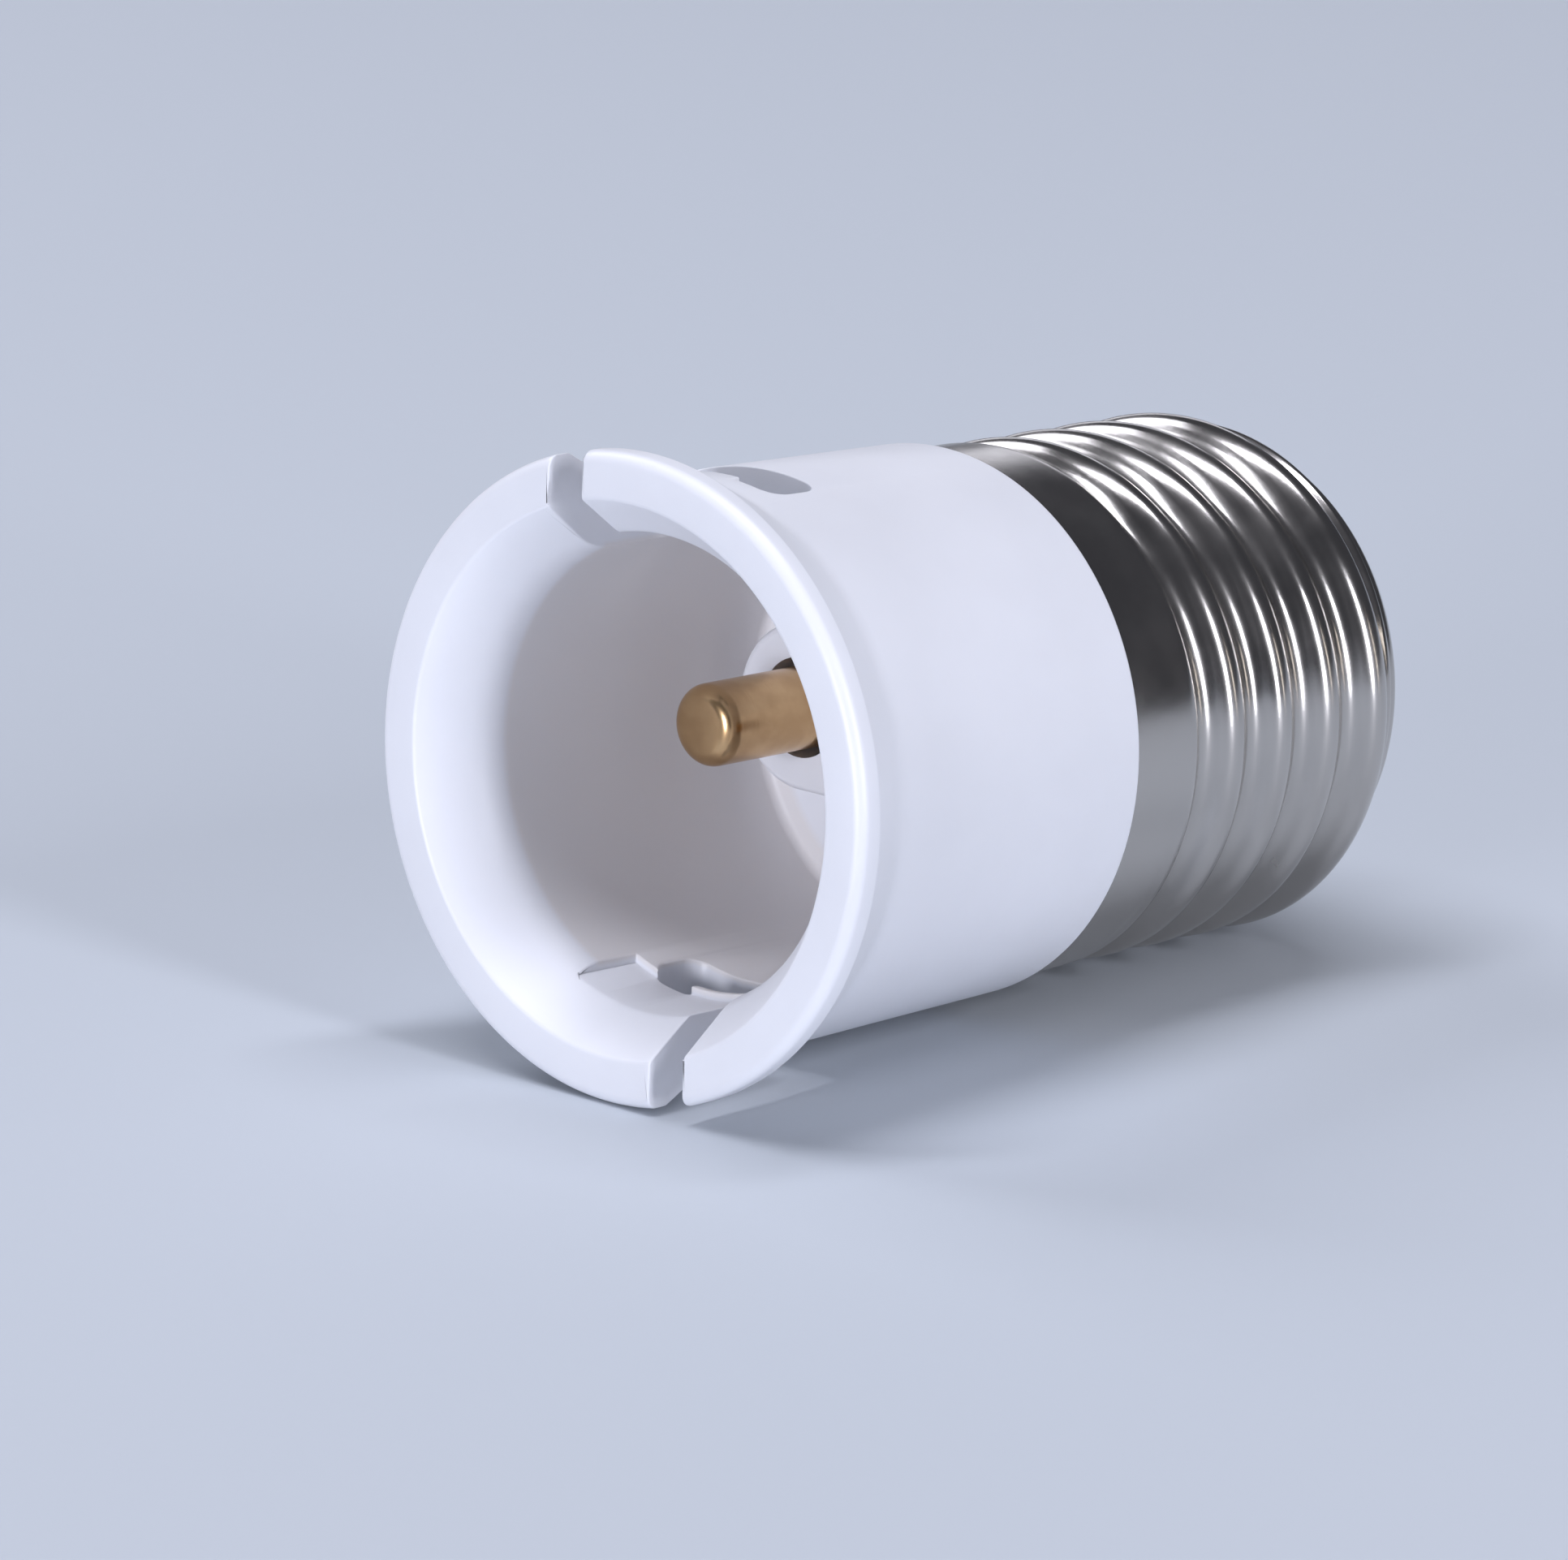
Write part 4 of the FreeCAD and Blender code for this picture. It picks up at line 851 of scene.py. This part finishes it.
class ADAPTER_OT_tip(bpy.types.Operator):
    """Turns the insulating cup and the rivet contact at the screw end"""

    bl_idname = "adapter.tip"
    bl_label = "Tip"

    def execute(self, context):
        sizes = context.scene.adapter_contacts
        finishes = context.scene.adapter_finishes
        back = sizes.tip_seat - 0.05 * MM
        front, cup_radius, neck, nose, hole = (
            40.6 * MM, 11.1 * MM, 10.2 * MM, 5.6 * MM, 1.65 * MM
        )
        cup = turn_up("tip_cup", rounded([
            (front, 8.0 * MM, 0.2 * MM),
            (front, cup_radius, 0.2 * MM),
            (43.6 * MM, cup_radius, 0.2 * MM),
            (44.05 * MM, neck, 0),
            (44.6 * MM, neck, 0.3 * MM),
            (back, nose, 0.35 * MM),
            (back, hole, 0),
            (back - 2.2 * MM, hole, 0),
            (back - 2.2 * MM, nose, 0.4 * MM),
        ]), 128)
        lay_down(cup, moulded_resin("black_thermoset", finishes.insulator, 0.35, 0.5))
        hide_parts("end_insulator")
        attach(cup, "adapter")
        seat = sizes.tip_seat
        end = seat + 1.5 * MM
        flange_front, flange_back = seat - 3.1 * MM, seat - 2.75 * MM
        flange, shank, inside, wall = 2.3 * MM, 1.6 * MM, 0.9 * MM, 0.9 * MM
        rivet = turn_up("tip_rivet", rounded([
            (flange_front, inside, 0),
            (flange_front, flange, 0.1 * MM),
            (flange_back, flange, 0.1 * MM),
            (flange_back, shank, 0),
            (seat, shank, 0),
            (seat, sizes.tip_radius, 0.1 * MM),
            (seat + 0.6 * MM, sizes.tip_radius, 0.5 * MM),
            (end, 3.2 * MM, 1.5 * MM),
            (end, AXLE, 0),
            (end - wall, AXLE, 0),
            (end - wall, inside, 0),
        ]), 96)
        lay_down(rivet, plated_nickel(finishes))
        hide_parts("centre_contact")
        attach(rivet, "adapter")
        return {"FINISHED"}


INSIDE = {
    "contact_washer": "terminal_brass",
    "contact_carrier": "carrier_moulding",
    "spring_left": "spring_steel",
    "spring_right": "spring_steel",
    "terminal_left": "terminal_brass",
    "terminal_right": "terminal_brass",
    "carrier_screw_top": "screw_zinc",
    "carrier_screw_bottom": "screw_zinc",
    "live_wire": "tinned_copper",
    "neutral_wire": "tinned_copper",
    "live_sleeve": "sleeving",
    "neutral_sleeve": "sleeving",
    "solder_live_tag": "solder",
    "solder_neutral_tag": "solder",
    "solder_centre": "solder",
    "solder_shell": "solder",
}


class ADAPTER_OT_inside(bpy.types.Operator):
    """Gives the pieces inside the shell their finishes"""

    bl_idname = "adapter.inside"
    bl_label = "Pieces inside"

    def execute(self, context):
        finishes = {
            # Pressed brass strip, springy and slightly tarnished
            "terminal_brass": pressed_metal("pressed_brass", "#c49a5a", 0.32, 0.8),
            # Brown phenolic with wood-flour filler
            "carrier_moulding": moulded_resin("brown_phenolic", linear("#4a3022"), 0.45, 0.4),
            # Drawn spring wire, grey with a faint drawing grain
            "spring_steel": pressed_metal("drawn_spring_wire", "#9a9b9f", 0.28, 0.3),
            # Zinc-plated steel, slightly bluish
            "screw_zinc": pressed_metal("zinc_plated_steel", "#b9bfc6", 0.3, 0.4),
            # Tinned copper, soft and dull silver
            "tinned_copper": pressed_metal("tinned_copper", "#bdbcb8", 0.35, 0.3),
            # Varnished glass-fibre sleeving, off white
            "sleeving": moulded_resin("glass_sleeving", linear("#d8d2be"), 0.6, 0.25),
            # Soft solder, greyish and rippled
            "solder": pressed_metal("soft_solder", "#a5a6a9", 0.4, 0.6),
        }
        for name, slot in INSIDE.items():
            mesh = frame["nodes"][name].data
            mesh.materials.clear()
            mesh.materials.append(finishes[slot])
        return {"FINISHED"}


class ADAPTER_OT_stage(bpy.types.Operator):
    """Sets the pale floor, the soft lights and the camera"""

    bl_idname = "adapter.stage"
    bl_label = "Studio"

    def execute(self, context):
        self.lay_floor(context)
        self.hang_lights(context)
        self.place_camera(context)
        context.scene.view_settings.view_transform = "Standard"
        return {"FINISHED"}

    def lay_floor(self, context):
        """A plain pale table."""
        clear_selection()
        bpy.ops.mesh.primitive_plane_add(size=6, location=(0, 0, 0))
        floor = bpy.context.object
        floor.name = "studio_floor"
        material, tree = new_material("painted_table")
        place = add_node(tree, "ShaderNodeTexCoord")
        grain = add_node(
            tree, "ShaderNodeTexNoise", {"Scale": 3.0, "Detail": 2.0},
            {"Vector": place.outputs["Object"]},
        )
        tone = add_node(tree, "ShaderNodeValToRGB", {}, {"Fac": grain.outputs["Fac"]})
        pale = context.scene.adapter_finishes.floor
        tone.color_ramp.elements[0].color = [c * 0.985 for c in pale[:3]] + [1.0]
        tone.color_ramp.elements[1].color = list(pale)
        shader = add_node(
            tree, "ShaderNodeBsdfPrincipled", {"Roughness": 0.7, "Specular IOR Level": 0.2},
            {"Base Color": tone.outputs["Color"]},
        )
        finish_material(tree, shader)
        floor.data.materials.append(material)

    def hang_lights(self, context):
        """Soft boxes in a dim room, and a narrow strip for the thread's thin highlights.

        Places, sizes and powers were fitted to the photograph's tones.
        """
        world = bpy.data.worlds.new("studio")
        world.use_nodes = True
        room = world.node_tree.nodes["Background"]
        room.inputs["Color"].default_value = linear("#b9bccb")
        room.inputs["Strength"].default_value = 0.12
        context.scene.world = world
        middle = Vector((0, 0, 0.015))
        for name, spot, size, watts, tint in (
            ("overhead", (-0.04, 0.02, 0.93), (0.14, 0.9), 5.6, "#f1f3ff"),
            ("front", (-0.84, -0.12, 0.10), (0.2, 0.2), 4.1, "#f1f3ff"),
            ("side", (-0.08, -0.84, 0.25), (0.15, 0.6), 5.0, "#f1f3ff"),
            ("far", (-0.05, 0.70, 0.65), (0.5, 0.5), 3.0, "#f1f3ff"),
            ("behind", (0.62, 0.60, 0.26), (0.5, 0.2), 0.4, "#f1f3ff"),
            ("strip", (0.30, -0.51, 0.09), (0.03, 0.2), 0.08, "#fff6ee"),
        ):
            clear_selection()
            bpy.ops.object.light_add(type="AREA", location=spot)
            lamp = bpy.context.object
            lamp.name = "light_" + name
            lamp.data.shape = "RECTANGLE"
            lamp.data.size, lamp.data.size_y = size
            lamp.data.energy = watts
            lamp.data.color = linear(tint)[:3]
            aim = middle - lamp.location
            lamp.rotation_euler = aim.to_track_quat("-Z", "Y").to_euler()

    def place_camera(self, context):
        """The photograph's viewpoint, found by fitting the rim, the bore and the thread."""
        turn = LAY.to_3x3()
        right = turn @ Vector((0.67819, -0.73341, 0.04649))
        up = turn @ Vector((0.13575, 0.18720, 0.97289))
        back = turn @ Vector((-0.72224, -0.65351, 0.22652))
        data = bpy.data.cameras.new("camera")
        data.sensor_width = 36.0
        data.lens = 223.6
        data.clip_start = 0.01
        data.clip_end = 10.0
        camera = bpy.data.objects.new("camera", data)
        context.scene.collection.objects.link(camera)
        place = Matrix((right, up, back)).transposed().to_4x4()
        place.translation = LAY @ Vector((-0.3273, -0.3069, 0.1048))
        camera.matrix_world = place
        context.scene.camera = camera


class ADAPTER_PT_panel(bpy.types.Panel):
    bl_idname = "ADAPTER_PT_panel"
    bl_label = "Lamp adapter"
    bl_space_type = "VIEW_3D"
    bl_region_type = "UI"
    bl_category = "Adapter"

    def draw(self, context):
        for operator in OPERATORS:
            self.layout.operator(operator.bl_idname)
        for group in GROUPS:
            box = self.layout.box()
            settings = getattr(context.scene, group)
            for name in settings.__annotations__:
                box.prop(settings, name)


OPERATORS = (
    ADAPTER_OT_moulding,
    ADAPTER_OT_shell,
    ADAPTER_OT_plungers,
    ADAPTER_OT_tip,
    ADAPTER_OT_inside,
    ADAPTER_OT_stage,
)


def register():
    for group in GROUPS.values():
        bpy.utils.register_class(group)
    for operator in OPERATORS:
        bpy.utils.register_class(operator)
    bpy.utils.register_class(ADAPTER_PT_panel)
    for name, group in GROUPS.items():
        setattr(bpy.types.Scene, name, PointerProperty(type=group))


def unregister():
    for name in GROUPS:
        delattr(bpy.types.Scene, name)
    bpy.utils.unregister_class(ADAPTER_PT_panel)
    for operator in reversed(OPERATORS):
        bpy.utils.unregister_class(operator)
    for group in reversed(list(GROUPS.values())):
        bpy.utils.unregister_class(group)


def main():
    register()
    bpy.ops.adapter.moulding()
    bpy.ops.adapter.shell()
    bpy.ops.adapter.plungers()
    bpy.ops.adapter.tip()
    bpy.ops.adapter.inside()
    bpy.ops.adapter.stage()


if __name__ == "__main__":
    main()
